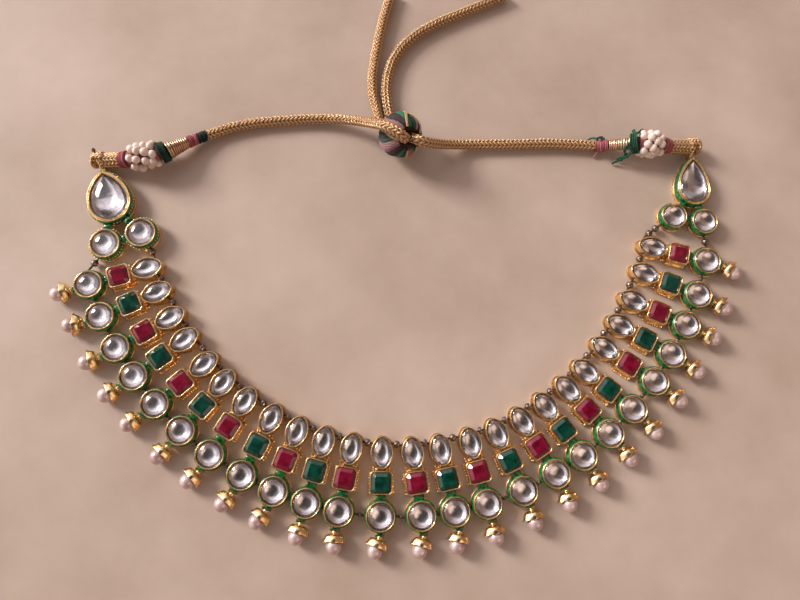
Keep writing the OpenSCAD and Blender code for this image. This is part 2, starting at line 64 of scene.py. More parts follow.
def add_object(name, data):
    """An object of the scene, with the given mesh, light or camera"""
    piece = bpy.data.objects.new(name, data)
    bpy.context.collection.objects.link(piece)
    return piece


camera = add_object("camera", bpy.data.cameras.new("camera"))
camera.location = Vector(CAMERA_AT) * MM
camera.rotation_euler = (radians(CAMERA_TILT), radians(CAMERA_ROLL), 0)
camera.data.lens = 27
camera.data.sensor_width = 36
camera.data.clip_start = 0.005
bpy.context.scene.camera = camera

# The surface is a pale stone floor with faint stains. The light is a low soft window at the left
# with a weak fill from the other side, in a room that is bright by the window and dark overhead.
STAINED, CLEAN, STAIN_SIZE = (0.44, 0.335, 0.265), (0.57, 0.457, 0.39), 1 / 18
FLOOR_HALF, FLOOR_DROP = 2, 0.00002


def add_node(tree, kind, **values):
    """A node with its properties and input values, whose names have _ in place of a space"""
    node = tree.nodes.new(kind)
    for key, value in values.items():
        socket = key.replace("_", " ")
        if socket in node.inputs:
            node.inputs[socket].default_value = value
        else:
            setattr(node, key, value)
    return node


def link(tree, *rows):
    """Links, each from an output of one node to an input of another"""
    for start, output, end, enters in rows:
        tree.links.new(start.outputs[output], end.inputs[enters])


def colour_ramp(tree, low, high, stops):
    """A ramp from one colour to another between two stops"""
    ramp = add_node(tree, "ShaderNodeValToRGB")
    for element, stop, colour in zip(ramp.color_ramp.elements, stops, (low, high)):
        element.position, element.color = stop, (*colour, 1)
    return ramp


def surface(material):
    """The shader that a material shows"""
    return material.node_tree.nodes["Principled BSDF"]


def new_material(name, colour, roughness, metallic=0.0, **values):
    """A material with the values that are the same all over its surface"""
    material = bpy.data.materials.new(name)
    material.use_nodes = True
    values = dict(Base_Color=(*colour, 1), Roughness=roughness, Metallic=metallic, **values)
    for key, value in values.items():
        surface(material).inputs[key.replace("_", " ")].default_value = value
    return material


def patchy(tree, size, detail, **values):
    """Noise over an object, in patches of the given size in metres"""
    where = add_node(tree, "ShaderNodeTexCoord")
    noise = add_node(tree, "ShaderNodeTexNoise", Scale=1 / size, Detail=detail, **values)
    link(tree, (where, "Object", noise, "Vector"))
    return noise


def colour_noise(material, low, high, size, detail=3.0, stops=(0.35, 0.68), **values):
    """Base colour that wanders between two colours"""
    tree = material.node_tree
    noise, ramp = patchy(tree, size, detail, **values), colour_ramp(tree, low, high, stops)
    link(tree, (noise, "Fac", ramp, "Fac"), (ramp, "Color", surface(material), "Base Color"))
    return noise, ramp


floor_paint = new_material("floor", CLEAN, 0.6)
colour_noise(floor_paint, STAINED, CLEAN, STAIN_SIZE, 10, (0.32, 0.66), Roughness=0.62)
floor_mesh = bpy.data.meshes.new("floor")
floor_mesh.from_pydata([(x * FLOOR_HALF, y * FLOOR_HALF, 0) for x, y in
                        ((-1, -1), (1, -1), (1, 1), (-1, 1))], [], [(0, 1, 2, 3)])
floor_mesh.materials.append(floor_paint)
floor = add_object("floor", floor_mesh)
floor.location.z = -FLOOR_DROP
floor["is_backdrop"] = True


def soft_light(name, towards, distance, size, power, colour):
    """A square area light that faces the middle of the necklace from the given direction"""
    lamp = bpy.data.lights.new(name, "AREA")
    lamp.size, lamp.energy, lamp.color = size, power, colour
    away = Vector(towards).normalized()
    piece = add_object(name, lamp)
    piece.location = away * distance
    piece.rotation_euler = away.to_track_quat("Z", "Y").to_euler()


soft_light("window", (-0.87, 0.5, 0.5), distance=5.0, size=1.5, power=290,
           colour=(1.0, 0.92, 0.86))
soft_light("fill", (0.7, -0.6, 0.9), distance=1.2, size=0.9, power=2.7,
           colour=(1.0, 0.78, 0.62))

room = bpy.data.worlds.new("room")
room.use_nodes = True
room_tree, background = room.node_tree, room.node_tree.nodes["Background"]
looking = add_node(room_tree, "ShaderNodeTexCoord")


def room_part(towards, start, stop, low, high):
    """A value that goes from low to high as the direction comes closer to the given one"""
    near = add_node(room_tree, "ShaderNodeVectorMath", operation="DOT_PRODUCT")
    near.inputs[1].default_value = Vector(towards).normalized()
    spread = add_node(room_tree, "ShaderNodeMapRange", interpolation_type="SMOOTHSTEP",
                      From_Min=start, From_Max=stop, To_Min=low, To_Max=high)
    link(room_tree, (looking, "Generated", near, 0), (near, "Value", spread, "Value"))
    return spread


walls = colour_ramp(room_tree, (0.27, 0.17, 0.125), (1.3, 1.22, 1.28), (0, 1))
link(room_tree, (room_part((-0.75, 0.4, 0.5), 0.05, 1.0, 0, 1), "Result", walls, "Fac"),
     (walls, "Color", background, "Color"),
     (room_part((-0.05, -0.15, 1), 0.68, 0.88, 1, 0.06), "Result", background, "Strength"))
bpy.context.scene.world = room
bpy.context.scene.view_settings.view_transform = "Standard"

# The two tie cords are braided from zari, a thread wound with flat gilt wire. Each is whole
# from its wrapped tie, through the slider, to its plain end, and lies loose on the surface.
CORD_D = 3.6
LEFT_ROUTE = [
    (-70.4, 69.9, 2), (-62.4, 73.1, 1.9), (-53.4, 75.1, 1.9), (-44.4, 76.1, 1.9),
    (-35.4, 76.9, 1.9), (-27.4, 77, 2.4), (-20.4, 75.7, 4.2), (-15.4, 73.7, 7),
    (-11.6, 71, 11), (-9.4, 68.9, 14.4), (-6.9, 66.9, 16.8), (-4.2, 65.4, 17.3),
    (-2, 64.1, 17), (-1, 63.6, 16.5), (-0.3, 63.5, 15.6), (-0.1, 63.7, 14.4),
    (-0.4, 64.3, 13.5), (-1.1, 65.2, 12.3), (-3.4, 68, 8.8), (-5.6, 70.8, 5.3),
    (-6.3, 71.7, 4.3), (-7.1, 72.6, 3.4), (-8.1, 73.8, 2.9), (-9, 75.7, 2.6),
    (-9.6, 78.1, 2.3), (-10.4, 82.1, 1.9), (-11.7, 87.1, 1.9), (-11.9, 94.1, 1.9),
    (-10.9, 102.1, 1.9), (-9.6, 110.1, 1.9), (-8, 118.1, 1.9), (-6.2, 125.1, 1.9),
    (-4.6, 130.5, 1.9),
]
RIGHT_ROUTE = [
    (69.8, 68.4, 2), (61.6, 68.9, 1.9), (52.6, 69.1, 1.9), (43.6, 68.7, 1.9),
    (34.6, 68.3, 1.9), (26.6, 68.1, 1.9), (19.6, 67.5, 2.9), (13.6, 66.3, 5.4),
    (10.4, 64.9, 8.6), (8.2, 64, 10.9), (6, 63.7, 12.5), (4.3, 64.1, 12.8), (3.1, 65, 11.9),
    (2.3, 66, 10.7), (0, 68.8, 7.2), (-2.3, 71.6, 3.7), (-3.1, 72.6, 2.5), (-3.6, 73.4, 2),
    (-4.3, 75, 1.9), (-5.1, 77.5, 1.9), (-6.1, 82.1, 1.9), (-6.8, 88.7, 1.9),
    (-6.3, 94.7, 1.9), (-4.5, 101.1, 1.9), (-0.9, 107.3, 1.9), (5.1, 113.1, 1.9),
    (12.8, 117.9, 1.9), (23, 122.9, 1.9), (33.4, 127.7, 1.9), (39.2, 130.5, 1.9),
]


def evenly(points, step):
    """Evenly spaced points along a line"""
    places = np.concatenate([[0], np.cumsum(np.linalg.norm(np.diff(points, axis=0), axis=1))])
    even = np.linspace(0, places[-1], int(places[-1] / step) + 1)
    return np.column_stack([np.interp(even, places, column) for column in points.T])


def smooth_route(points, step, soften):
    """Evenly spaced points on the route, with its corners rounded off"""
    line = evenly(np.array(points, float), step)
    reach = int(3 * soften / step)
    weights = np.exp(-0.5 * (np.arange(-reach, reach + 1) * step / soften) ** 2)
    weights /= weights.sum()
    before = 2 * line[0] - line[reach:0:-1]
    after = 2 * line[-1] - line[-2:-reach - 2:-1]
    longer = np.vstack([before, line, after])
    return np.column_stack([np.convolve(column, weights, "valid") for column in longer.T])


def turns(around):
    """The angles of a whole turn in even steps"""
    return 2 * pi * np.arange(around) / around


def ring_faces(rings, around, ends):
    """Quads between rings of points. The ends are capped, open, or joined to each other"""
    faces = [(r * around + k, r * around + (k + 1) % around,
              (r + 1) % rings * around + (k + 1) % around, (r + 1) % rings * around + k)
             for r in range(rings if ends == "joined" else rings - 1) for k in range(around)]
    if ends == "capped":
        faces.append(tuple(range(around - 1, -1, -1)))
        faces.append(tuple(range((rings - 1) * around, rings * around)))
    return faces


def unrolled(girth, places, around):
    """UV in millimetres: how far round a thread each point is, and how far along it"""
    return np.stack(np.meshgrid(np.arange(around) * girth / around, places), -1).reshape(-1, 2)


def skin(line, radii, girth, places):
    """Points, faces and UV of rings round a line that don't twist, with a radius for each ring
    and each point of it"""
    along = np.gradient(line, axis=0)
    along /= np.linalg.norm(along, axis=1)[:, None]
    sides = np.empty_like(line)
    side = np.array((0.1, 0.2, 1))
    for k, ahead in enumerate(along):
        side = side - side @ ahead * ahead
        side /= np.linalg.norm(side)
        sides[k] = side
    rings, around = radii.shape
    turn = turns(around)[None, :, None]
    out = np.cos(turn) * sides[:, None] + np.sin(turn) * np.cross(along, sides)[:, None]
    return ((line[:, None] + radii[:, :, None] * out).reshape(-1, 3),
            ring_faces(rings, around, "capped"), unrolled(girth, places, around))


def declare(piece, slot, *nodes):
    """Hangs a piece on the root body and hides the solids of the frame that it replaces. The slot
    is not used
    """
    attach(piece, "root")
    if nodes:
        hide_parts(*nodes)


def make_piece(name, parts, materials, slot, *nodes):
    """A mesh object at the origin, from parts in millimetres. Each part is points and faces,
    then perhaps a material number for each face, or UV and dye for each point, with painted shade
    in the dye"""
    points, faces = [], []
    for part in parts:
        faces += [tuple(v + len(points) for v in face) for face in part[1]]
        points += (part[0] * MM).tolist()
    mesh = bpy.data.meshes.new(name)
    mesh.from_pydata(points, [], faces)
    for material in materials:
        mesh.materials.append(material)
    extras = [np.concatenate(column) for column in list(zip(*parts))[2:]]
    if len(extras) == 1:
        mesh.polygons.foreach_set("material_index", extras[0].astype(np.int32))
    if len(extras) == 2:
        corner = np.empty(len(mesh.loops), np.int32)
        mesh.loops.foreach_get("vertex_index", corner)
        mesh.uv_layers.new(name="UVMap").data.foreach_set(
            "uv", extras[0].astype(np.float32)[corner].ravel())
        # The dye of each point carries painted shade as well as the thread's own colour.
        tint = np.column_stack([extras[1], np.ones(len(points))]).astype(np.float32)
        mesh.color_attributes.new("tint", "FLOAT_COLOR", "POINT").data.foreach_set(
            "color", tint.ravel())
    mesh.polygons.foreach_set("use_smooth", np.full(len(faces), True))
    mesh.update()
    piece = add_object(name, mesh)
    declare(piece, slot, *nodes)
    return piece


def node_group(name, inputs, outputs, kind="ShaderNodeTree"):
    """A node group with its sockets, by name and kind, and the nodes that stand for them"""
    tree = bpy.data.node_groups.new(name, kind)
    for way, sockets in (("INPUT", inputs), ("OUTPUT", outputs)):
        for socket, sort in sockets.items():
            tree.interface.new_socket(socket, in_out=way, socket_type="NodeSocket" + sort)
    return tree, add_node(tree, "NodeGroupInput"), add_node(tree, "NodeGroupOutput")


def fibre_group():
    """Fine fibres that run at a slant across a piece's own UV, which is in millimetres, with
    painted shade in the hollows between them
    """
    tree, values, result = node_group("fibres", dict(Lines="Float", Tilt="Float", Shade="Float"),
                                      dict(Light="Float", Height="Float"))
    where = add_node(tree, "ShaderNodeTexCoord")
    turn = add_node(tree, "ShaderNodeVectorRotate", rotation_type="Z_AXIS")
    wave = add_node(tree, "ShaderNodeTexWave", Distortion=1.5, Detail=1.0)
    light = add_node(tree, "ShaderNodeMapRange")
    darkest = add_node(tree, "ShaderNodeMath", operation="SUBTRACT")
    darkest.inputs[0].default_value = 1.0
    link(tree, (where, "UV", turn, "Vector"), (values, "Tilt", turn, "Angle"),
         (turn, "Vector", wave, "Vector"), (values, "Lines", wave, "Scale"),
         (values, "Shade", darkest, 1), (wave, "Fac", light, "Value"),
         (darkest, "Value", light, "To Min"), (light, "Result", result, "Light"),
         (wave, "Fac", result, "Height"))
    return tree


FIBRES = fibre_group()


def thread_material(name, roughness, metallic, lines, tilt, shade, strength):
    """Yarn: the dye, with its painted shade, comes from the mesh, and the fibres raise it and paint
    more shade between them
    """
    material = new_material(name, (0.5, 0.5, 0.5), roughness, metallic)
    tree, shader = material.node_tree, surface(material)
    dye_and_shade = add_node(tree, "ShaderNodeAttribute", attribute_name="tint")
    fibres = add_node(tree, "ShaderNodeGroup", node_tree=FIBRES, Lines=lines, Tilt=tilt,
                      Shade=shade)
    shaded = add_node(tree, "ShaderNodeVectorMath", operation="SCALE")
    bump = add_node(tree, "ShaderNodeBump", Strength=strength, Distance=0.0001)
    link(tree, (dye_and_shade, "Color", shaded, 0), (fibres, "Light", shaded, "Scale"),
         (shaded, "Vector", shader, "Base Color"), (fibres, "Height", bump, "Height"),
         (bump, "Normal", shader, "Normal"))
    return material


zari = thread_material("zari", 0.28, 0.55, 3.0, 0.8, 0.15, 0.5)
# The braid's dark colour is painted shade, laid down in the grooves between its strands.
ZARI_LIGHT, ZARI_GROOVE_SHADE, ZARI_SLANT = np.array([1.0, 0.66, 0.35]), np.array([0.13, 0.032, 0.01]), 0.9


def braid(line, step, outer, depth, columns, pitch, around):
    """Points, faces, UV and dye of a braid along a line, as thick as outer says, whose columns
    lean to the left and the right by turns. Down in the grooves the dye turns dark: painted shade"""
    places = np.arange(len(line)) * step
    column, across = np.divmod(np.arange(around) / around * columns, 1)
    across = across - 0.5 + 0.5 * columns / around
    phase = places[:, None] / pitch + np.where(column % 2 == 0, 1, -1) * across * ZARI_SLANT
    height = (np.abs(np.sin(pi * phase)) ** 0.7
              * np.clip(np.cos(pi * across * 0.9), 0, 1) ** 0.5)
    dye_and_shade = ZARI_GROOVE_SHADE + (ZARI_LIGHT - ZARI_GROOVE_SHADE) * height.reshape(-1, 1) ** 1.2
    return *skin(line, outer - depth * (1 - height), np.mean(outer) * 2 * pi, places), dye_and_shade


CORD_STEP = 0.2
for side, route, length in (("left", LEFT_ROUTE, 0.157), ("right", RIGHT_ROUTE, 0.168)):
    line = smooth_route(route, CORD_STEP, 1.3)
    piece = make_piece(f"{side}_braided_cord",
                       [braid(line, CORD_STEP, CORD_D / 2 + 0.08, depth=0.58, columns=8,
                              pitch=1.5, around=56)],
                       [zari], "zari_braid", f"{side}_cord")

# Each bar is three closed settings soldered in a row from gilt brass sheet, with a tab and a
# pin for its drop. The two end pieces are a drop-shaped setting over two round ones.
CURVE_MIDDLE = np.array([-1.6, 67.5])
CURVE_RADII = np.array([95.0, 108.0])
OVAL_LONG, OVAL_WIDE, SQUARE, ROUND_D = 10.6, 7.6, 7.6, 10.5
SQUARE_AT, ROUND_AT = 9.4, 19.6
TAB_END = ROUND_AT + ROUND_D / 2 + 0.9
PIN_Z = 2.6
PLACE, LEAN, SWING = 0, 1, 2
BARS = [
    (206.0, -6, 0), (211.0, -3, -20), (216.5, -2, -10), (221.5, 0, -8), (227.5, -3, -8),
    (232.5, 2, -3), (238.0, 4, -18), (244.0, 3, -17), (249.5, 3, -20), (255.0, 2, -2),
    (260.5, 0, 8), (266.5, 3, -20), (272.5, 5, -25), (278.0, 4, -25), (284.0, -1, -2),
    (289.5, 2, -10), (295.0, 4, -20), (300.5, 2, -8), (306.0, 3, -9), (311.0, 6, -16),
    (317.0, 5, -9), (322.5, 4, -10), (328.0, 4, -2), (334.0, 1, -12), (339.5, 4, -20),
]
PAIR_GAP, DROP_WIDE = 11.4, 13.3
ENDS = {
    "left": dict(at=(-95.7, 30.5), turn=109, size=1.08, drop_at=(13, 1.2), drop_turn=-1,
                 wide=1.09, tip=11.5),
    "right": dict(at=(101.6, 40.4), turn=80, size=0.97, drop_at=(11.8, -0.8), drop_turn=6,
                  wide=0.99, tip=13.6),
}


def turned(x, y, turn, size=1.0, z=0.0):
    """A place and a turn in degrees on the surface, as a matrix"""
    return (Matrix.Translation((x, y, z)) @ Matrix.Rotation(radians(turn), 4, "Z")
            @ Matrix.Scale(size, 4))


def on_bar(i):
    """Where bar number i lies: its oval's middle is the origin and its drop is along +X"""
    place = radians(BARS[i][PLACE])
    x, y = CURVE_MIDDLE + CURVE_RADII * (cos(place), sin(place))
    outward = degrees(atan2(CURVE_RADII[0] * sin(place), CURVE_RADII[1] * cos(place)))
    return turned(x, y, outward + BARS[i][LEAN])


def on_drop(i):
    """Where the pearl drop of bar number i hangs: from the end of the tab along +Z"""
    return (on_bar(i) @ turned(TAB_END, 0, BARS[i][SWING], z=PIN_Z)
            @ Matrix.Rotation(pi / 2, 4, "Y"))


def on_end(side):
    """Where an end piece lies: the middle of its two rounds, with its drop along +X"""
    return turned(*ENDS[side]["at"], ENDS[side]["turn"], ENDS[side]["size"])


def on_end_drop(side):
    """Where the drop-shaped setting of an end piece lies"""
    return on_end(side) @ turned(*ENDS[side]["drop_at"], ENDS[side]["drop_turn"])


def moved(points, matrix):
    """Points after a matrix"""
    matrix = np.array(matrix)
    return np.asarray(points, float) @ matrix[:3, :3].T + matrix[:3, 3]


def metal_finish():
    """Hand-worked metal: soft dents, and patches where the gilding is duller"""
    tree, values, result = node_group(
        "hand_worked", dict.fromkeys(("Patch size", "Dull", "Bright", "Dents"), "Float"),
        dict(Roughness="Float", Mask="Float", Normal="Vector"))
    where = add_node(tree, "ShaderNodeTexCoord")
    inverse = add_node(tree, "ShaderNodeMath", operation="DIVIDE")
    inverse.inputs[0].default_value = 1 / MM
    patches = add_node(tree, "ShaderNodeTexNoise", Detail=4)
    dents = add_node(tree, "ShaderNodeTexNoise", Scale=1400, Detail=2)
    spread = add_node(tree, "ShaderNodeMapRange", From_Min=0.35, From_Max=0.7)
    bump = add_node(tree, "ShaderNodeBump", Distance=0.00012)
    link(tree, (values, "Patch size", inverse, 1), (inverse, "Value", patches, "Scale"),
         (where, "Object", patches, "Vector"), (where, "Object", dents, "Vector"),
         (patches, "Fac", spread, "Value"), (values, "Bright", spread, "To Min"),
         (values, "Dull", spread, "To Max"), (dents, "Fac", bump, "Height"),
         (values, "Dents", bump, "Strength"), (spread, "Result", result, "Roughness"),
         (patches, "Fac", result, "Mask"), (bump, "Normal", result, "Normal"))
    return tree


HAND_WORKED = metal_finish()


def metal(name, bright, dull, patch, smooth, rough, dents):
    """A worn metal that is the bright colour on most of its surface and dull in patches"""
    material = new_material(name, bright, smooth, 1.0)
    tree, shader = material.node_tree, surface(material)
    finish = add_node(tree, "ShaderNodeGroup", node_tree=HAND_WORKED, Patch_size=patch,
                      Bright=smooth, Dull=rough, Dents=dents)
    ramp = colour_ramp(tree, bright, dull, (0.42, 0.72))
    link(tree, (finish, "Mask", ramp, "Fac"), (ramp, "Color", shader, "Base Color"),
         (finish, "Roughness", shader, "Roughness"), (finish, "Normal", shader, "Normal"))
    return material


gold = metal("gilt", (1.0, 0.77, 0.43), (0.80, 0.43, 0.16), 1.6, 0.18, 0.36, 0.22)


def finish_node(name, material):
    """Gives a solid of the frame its material"""
    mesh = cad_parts[name].data
    mesh.materials.clear()
    mesh.materials.append(material)


for number in range(1, len(BARS) + 1):
    finish_node(f"bar_setting_{number:02d}", gold)
for side in ENDS:
    finish_node(f"{side}_end_setting", gold)

# The clear stones are foiled glass: a smooth dome over a shallow bowl of silver foil. Each is
# set loose in its seat, and stands above the wall.
SEAT, ROUND_SEAT, DROP_SEAT, GAP = 0.65, 1.15, 1.45, 0.1
GIRDLE_Z, WALL_H = 3.9, 4.0
RISE_AND_BOWL = dict(oval=(1.2, 0.6), round=(1.3, 0.65), drop=(1.8, 0.8))


def noise_bump(material, size, strength, detail=2.0, distance=0.0002):
    """Fine unevenness of a surface"""
    tree = material.node_tree
    bump = add_node(tree, "ShaderNodeBump", Strength=strength, Distance=distance)
    link(tree, (patchy(tree, size, detail), "Fac", bump, "Height"),
         (bump, "Normal", surface(material), "Normal"))


glass = new_material("clear_glass", (0.97, 0.95, 0.97), 0.02, Transmission_Weight=1.0, IOR=1.5)
noise_bump(glass, 0.005, 0.12, 1.0)

foil = new_material("silver_foil", (0.92, 0.91, 0.92), 0.2, 1.0)
colour_noise(foil, (0.70, 0.66, 0.66), (0.95, 0.94, 0.94), 0.003)
noise_bump(foil, 0.0025, 0.5)


def arc(middle, radius, start, stop, count):
    """Points on an arc, without its last one"""
    angles = np.linspace(start, stop, count, endpoint=False)
    return np.column_stack([middle[0] + radius * np.cos(angles),
                            middle[1] + radius * np.sin(angles)])


def oval_outline(inset):
    """Four arcs, as the settings have them"""
    tip_r, count = 2.6, 10
    long_r, wide_r = OVAL_LONG / 2 - tip_r, OVAL_WIDE / 2
    side_r = (long_r ** 2 + wide_r ** 2 - tip_r ** 2) / (2 * (wide_r - tip_r))
    join = atan2(side_r - wide_r, long_r)
    return np.vstack([
        arc((long_r, 0), tip_r - inset, -join, join, count),
        arc((0, wide_r - side_r), side_r - inset, join, pi - join, count),
        arc((-long_r, 0), tip_r - inset, pi - join, pi + join, count),
        arc((0, side_r - wide_r), side_r - inset, pi + join, 2 * pi - join, count)])


def drop_outline(side, inset):
    """Two arcs that meet at the tip, and a half circle"""
    r, tip, count = ENDS[side]["wide"] * DROP_WIDE / 2, ENDS[side]["tip"], 14
    side_r = (tip ** 2 + r ** 2) / (2 * r)
    far = asin((side_r - r) / (side_r - inset))
    return np.vstack([
        arc((0, side_r - r), side_r - inset, -pi / 2, -far, count),
        arc((0, r - side_r), side_r - inset, far, pi / 2, count),
        arc((0, 0), r - inset, pi / 2, 3 * pi / 2, 2 * count)])


def round_outline(inset):
    return arc((0, 0), ROUND_D / 2 - inset, 0, 2 * pi, 40)


def level(ring, height):
    """The points of an outline at one height, or each at its own"""
    return np.column_stack([ring, np.broadcast_to(height, len(ring))])


def domed_stone(outline, rise, bowl, matrix, seed, middle=(0, 0), rings=9):
    """A stone with a shallow bowl of foil, seldom quite central, under a smooth dome: its
    points, its faces and which of them are foiled"""
    around, top = len(outline), WALL_H + rise
    below = np.linspace(0.12, 1, 9)
    above = np.sin(np.linspace(pi / 2, 0, rings, endpoint=False))[1:]
    lowest = middle + np.random.default_rng(seed).uniform(-0.7, 0.7, 2)
    layers = [level(lowest + (middle - lowest) * share
                    + (outline - lowest - (middle - lowest) * share) * share,
                    GIRDLE_Z - bowl * (1 - share ** 2.4)) for share in below]
    layers += [level(middle + (outline - middle) * share,
                     GIRDLE_Z + (top - GIRDLE_Z) * (1 - share ** 2) ** 0.8) for share in above]
    points = np.vstack([[*lowest, GIRDLE_Z - bowl], *layers, [*middle, top]])
    last = len(points) - 1 - around
    faces = [(0, 1 + (k + 1) % around, 1 + k) for k in range(around)]
    faces += [tuple(1 + v for v in face) for face in ring_faces(len(layers), around, "open")]
    faces += [(last + k, last + (k + 1) % around, last + around) for k in range(around)]
    foiled = np.arange(len(faces)) < around * len(below)
    return moved(points, matrix), faces, foiled


bar_numbers = range(len(BARS))
on_rounds = [on_bar(i) @ turned(ROUND_AT, 0, 0) for i in bar_numbers]
end_rounds = [on_end(side) @ turned(0, hand * PAIR_GAP / 2, 0) for side in ENDS
              for hand in (-1, 1)]
ovals = [domed_stone(oval_outline(SEAT + GAP), *RISE_AND_BOWL["oval"], on_bar(i), i)
         for i in bar_numbers]
make_piece("oval_glass", ovals, [glass, foil], "clear_glass", "oval_stones")
rounds = [domed_stone(round_outline(ROUND_SEAT + GAP), *RISE_AND_BOWL["round"], at, 40 + k)
          for k, at in enumerate(on_rounds + end_rounds)]
make_piece("round_glass", rounds, [glass, foil], "clear_glass", "round_stones")
for side in ENDS:
    drop = domed_stone(drop_outline(side, DROP_SEAT + GAP), *RISE_AND_BOWL["drop"],
                       on_end_drop(side), 80, middle=(1.5, 0), rings=12)
    make_piece(f"{side}_drop_glass", [drop], [glass, foil], "clear_glass", f"{side}_drop_stone")

# The square stones are cut from coloured glass, with a flat table and sloping facets. They are
# nearly opaque, with cloudy patches under the polish.


def cut_glass(name, deep, light):
    material = new_material(name, deep, 0.14, Coat_Weight=0.6, Coat_Roughness=0.05)
    colour_noise(material, deep, light, 0.0022, 4.0)
    noise_bump(material, 0.0018, 0.35)
    return material


finish_node("ruby_stones", cut_glass("ruby_glass", (0.12, 0.002, 0.013), (0.24, 0.007, 0.034)))
finish_node("emerald_stones", cut_glass("emerald_glass", (0.0, 0.024, 0.015),
                                        (0.003, 0.07, 0.042)))

# Green enamel is fired round the wall of each round and drop-shaped setting and over the joints
# beside it, between a gilt foot and the rim. It is glassy, uneven, and worn through in flecks.
ENAMEL_LOW, ENAMEL_HIGH, FOOT_HIGH, ROUND_LIP, DROP_LIP = 0.7, 3.4, 1.35, 0.64, 0.54

enamel = new_material("green_enamel", (0.02, 0.30, 0.09), 0.15, Coat_Weight=0.8,
                      Coat_Roughness=0.08)
enamel_noise, enamel_ramp = colour_noise(enamel, (0.0, 0.022, 0.008), (0.022, 0.23, 0.045),
                                         0.0012)
enamel_ramp.color_ramp.elements.new(0.74).color = (0.9, 0.62, 0.25, 1)
worn = add_node(enamel.node_tree, "ShaderNodeMapRange", From_Min=0.69, From_Max=0.74)
link(enamel.node_tree, (enamel_noise, "Fac", worn, "Value"),
     (worn, "Result", surface(enamel), "Metallic"))
noise_bump(enamel, 0.0007, 0.8, distance=0.0003)


def looped(layers, matrix):
    """Points and faces of a skin over rings of points, of which the last joins the first"""
    return moved(np.vstack(layers), matrix), ring_faces(len(layers), len(layers[0]), "joined")


def enamel_band(outline_at, inner, matrix):
    """A glassy band round a setting, that creeps over the edge of the lip as far as inner"""
    profile = [(inner, ENAMEL_LOW), (0.2, ENAMEL_LOW), (0.1, FOOT_HIGH), (0.0, 1.9),
               (0.0, 2.4), (0.08, 2.9), (0.2, 3.4), (inner - 0.24, 4.02), (inner, 4.08)]
    return looped([level(outline_at(inset), height) for inset, height in profile], matrix)


def enamel_pad(start, stop, wide, matrix):
    """A low cushion of enamel on top of a joint"""
    across = np.linspace(-1, 1, 7)
    low, high = 3.02, ENAMEL_HIGH + 0.05
    upper = low + (high - low) * np.sqrt(1 - 0.8 * across ** 2)
    points = [(x, y * wide / 2, z) for x in (start, (start + stop) / 2, stop)
              for y, z in [*zip(across, upper), *((y, low) for y in across[::-1])]]
    return moved(points, matrix), ring_faces(3, 2 * len(across), "capped")


bands = [enamel_band(round_outline, ROUND_LIP, at) for at in on_rounds]
pads = [enamel_pad(a, b, wide, on_bar(i)) for i in bar_numbers for a, b, wide in
        ((SQUARE_AT + SQUARE / 2 - 0.1, ROUND_AT - ROUND_D / 2 + 0.4, 3.4),
         (ROUND_AT + ROUND_D / 2 - 0.4, TAB_END - 0.6, 3.0))]
end_bands = [enamel_band(round_outline, ROUND_LIP, at) for at in end_rounds]
end_bands += [enamel_band(lambda inset: drop_outline(side, inset), DROP_LIP,
                          on_end_drop(side)) for side in ENDS]
for side in ENDS:
    low, high, drop_r = (0, -PAIR_GAP / 2), (0, PAIR_GAP / 2), ENDS[side]["wide"] * DROP_WIDE / 2
    for start, goal, goal_r in ((low, ENDS[side]["drop_at"], drop_r),
                                (high, ENDS[side]["drop_at"], drop_r), (low, high, ROUND_D / 2)):
        run = Vector(goal) - Vector(start)
        joint = on_end(side) @ turned(*start, degrees(atan2(run.y, run.x)))
        end_bands.append(enamel_pad(ROUND_D / 2 - 0.3, run.length - goal_r + 0.3, 2.6, joint))
make_piece("green_bands", bands + pads, [enamel], "green_enamel", "bar_enamel")
make_piece("green_end_bands", end_bands, [enamel], "green_enamel", "end_enamel")

# Small gold granules are soldered where the settings of a bar meet, and a row of them runs
# along the foot of each square. A milled wire runs round the enamel of the left end piece.
GRANULE, WIRE_BEAD, WIRE_Z = 0.34, 0.3, 3.0


def bead_tree(name, material, smoothness):
    """Geometry Nodes: one small ball at every point, sized by the point and a little uneven"""
    tree, values, result = node_group(
        name, dict(Geometry="Geometry", Smallest="Float", Largest="Float", Seed="Int"),
        dict(Geometry="Geometry"), "GeometryNodeTree")
    ball = add_node(tree, "GeometryNodeMeshIcoSphere", Subdivisions=smoothness)
    place = add_node(tree, "GeometryNodeInstanceOnPoints")
    random_size = add_node(tree, "FunctionNodeRandomValue")
    size = add_node(tree, "GeometryNodeInputNamedAttribute", data_type="FLOAT", Name="size")
    scale = add_node(tree, "ShaderNodeMath", operation="MULTIPLY")
    whole = add_node(tree, "GeometryNodeRealizeInstances")
    smooth = add_node(tree, "GeometryNodeSetShadeSmooth")
    cover = add_node(tree, "GeometryNodeSetMaterial", Material=material)
    link(tree, (values, "Geometry", place, "Points"), (ball, "Mesh", place, "Instance"),
         (values, "Smallest", random_size, 2), (values, "Largest", random_size, 3),
         (values, "Seed", random_size, "Seed"), (size, "Attribute", scale, 0),
         (random_size, 1, scale, 1), (scale, "Value", place, "Scale"),
         (place, "Instances", whole, "Geometry"), (whole, "Geometry", smooth, "Geometry"),
         (smooth, "Geometry", cover, "Geometry"), (cover, "Geometry", result, "Geometry"))
    return tree


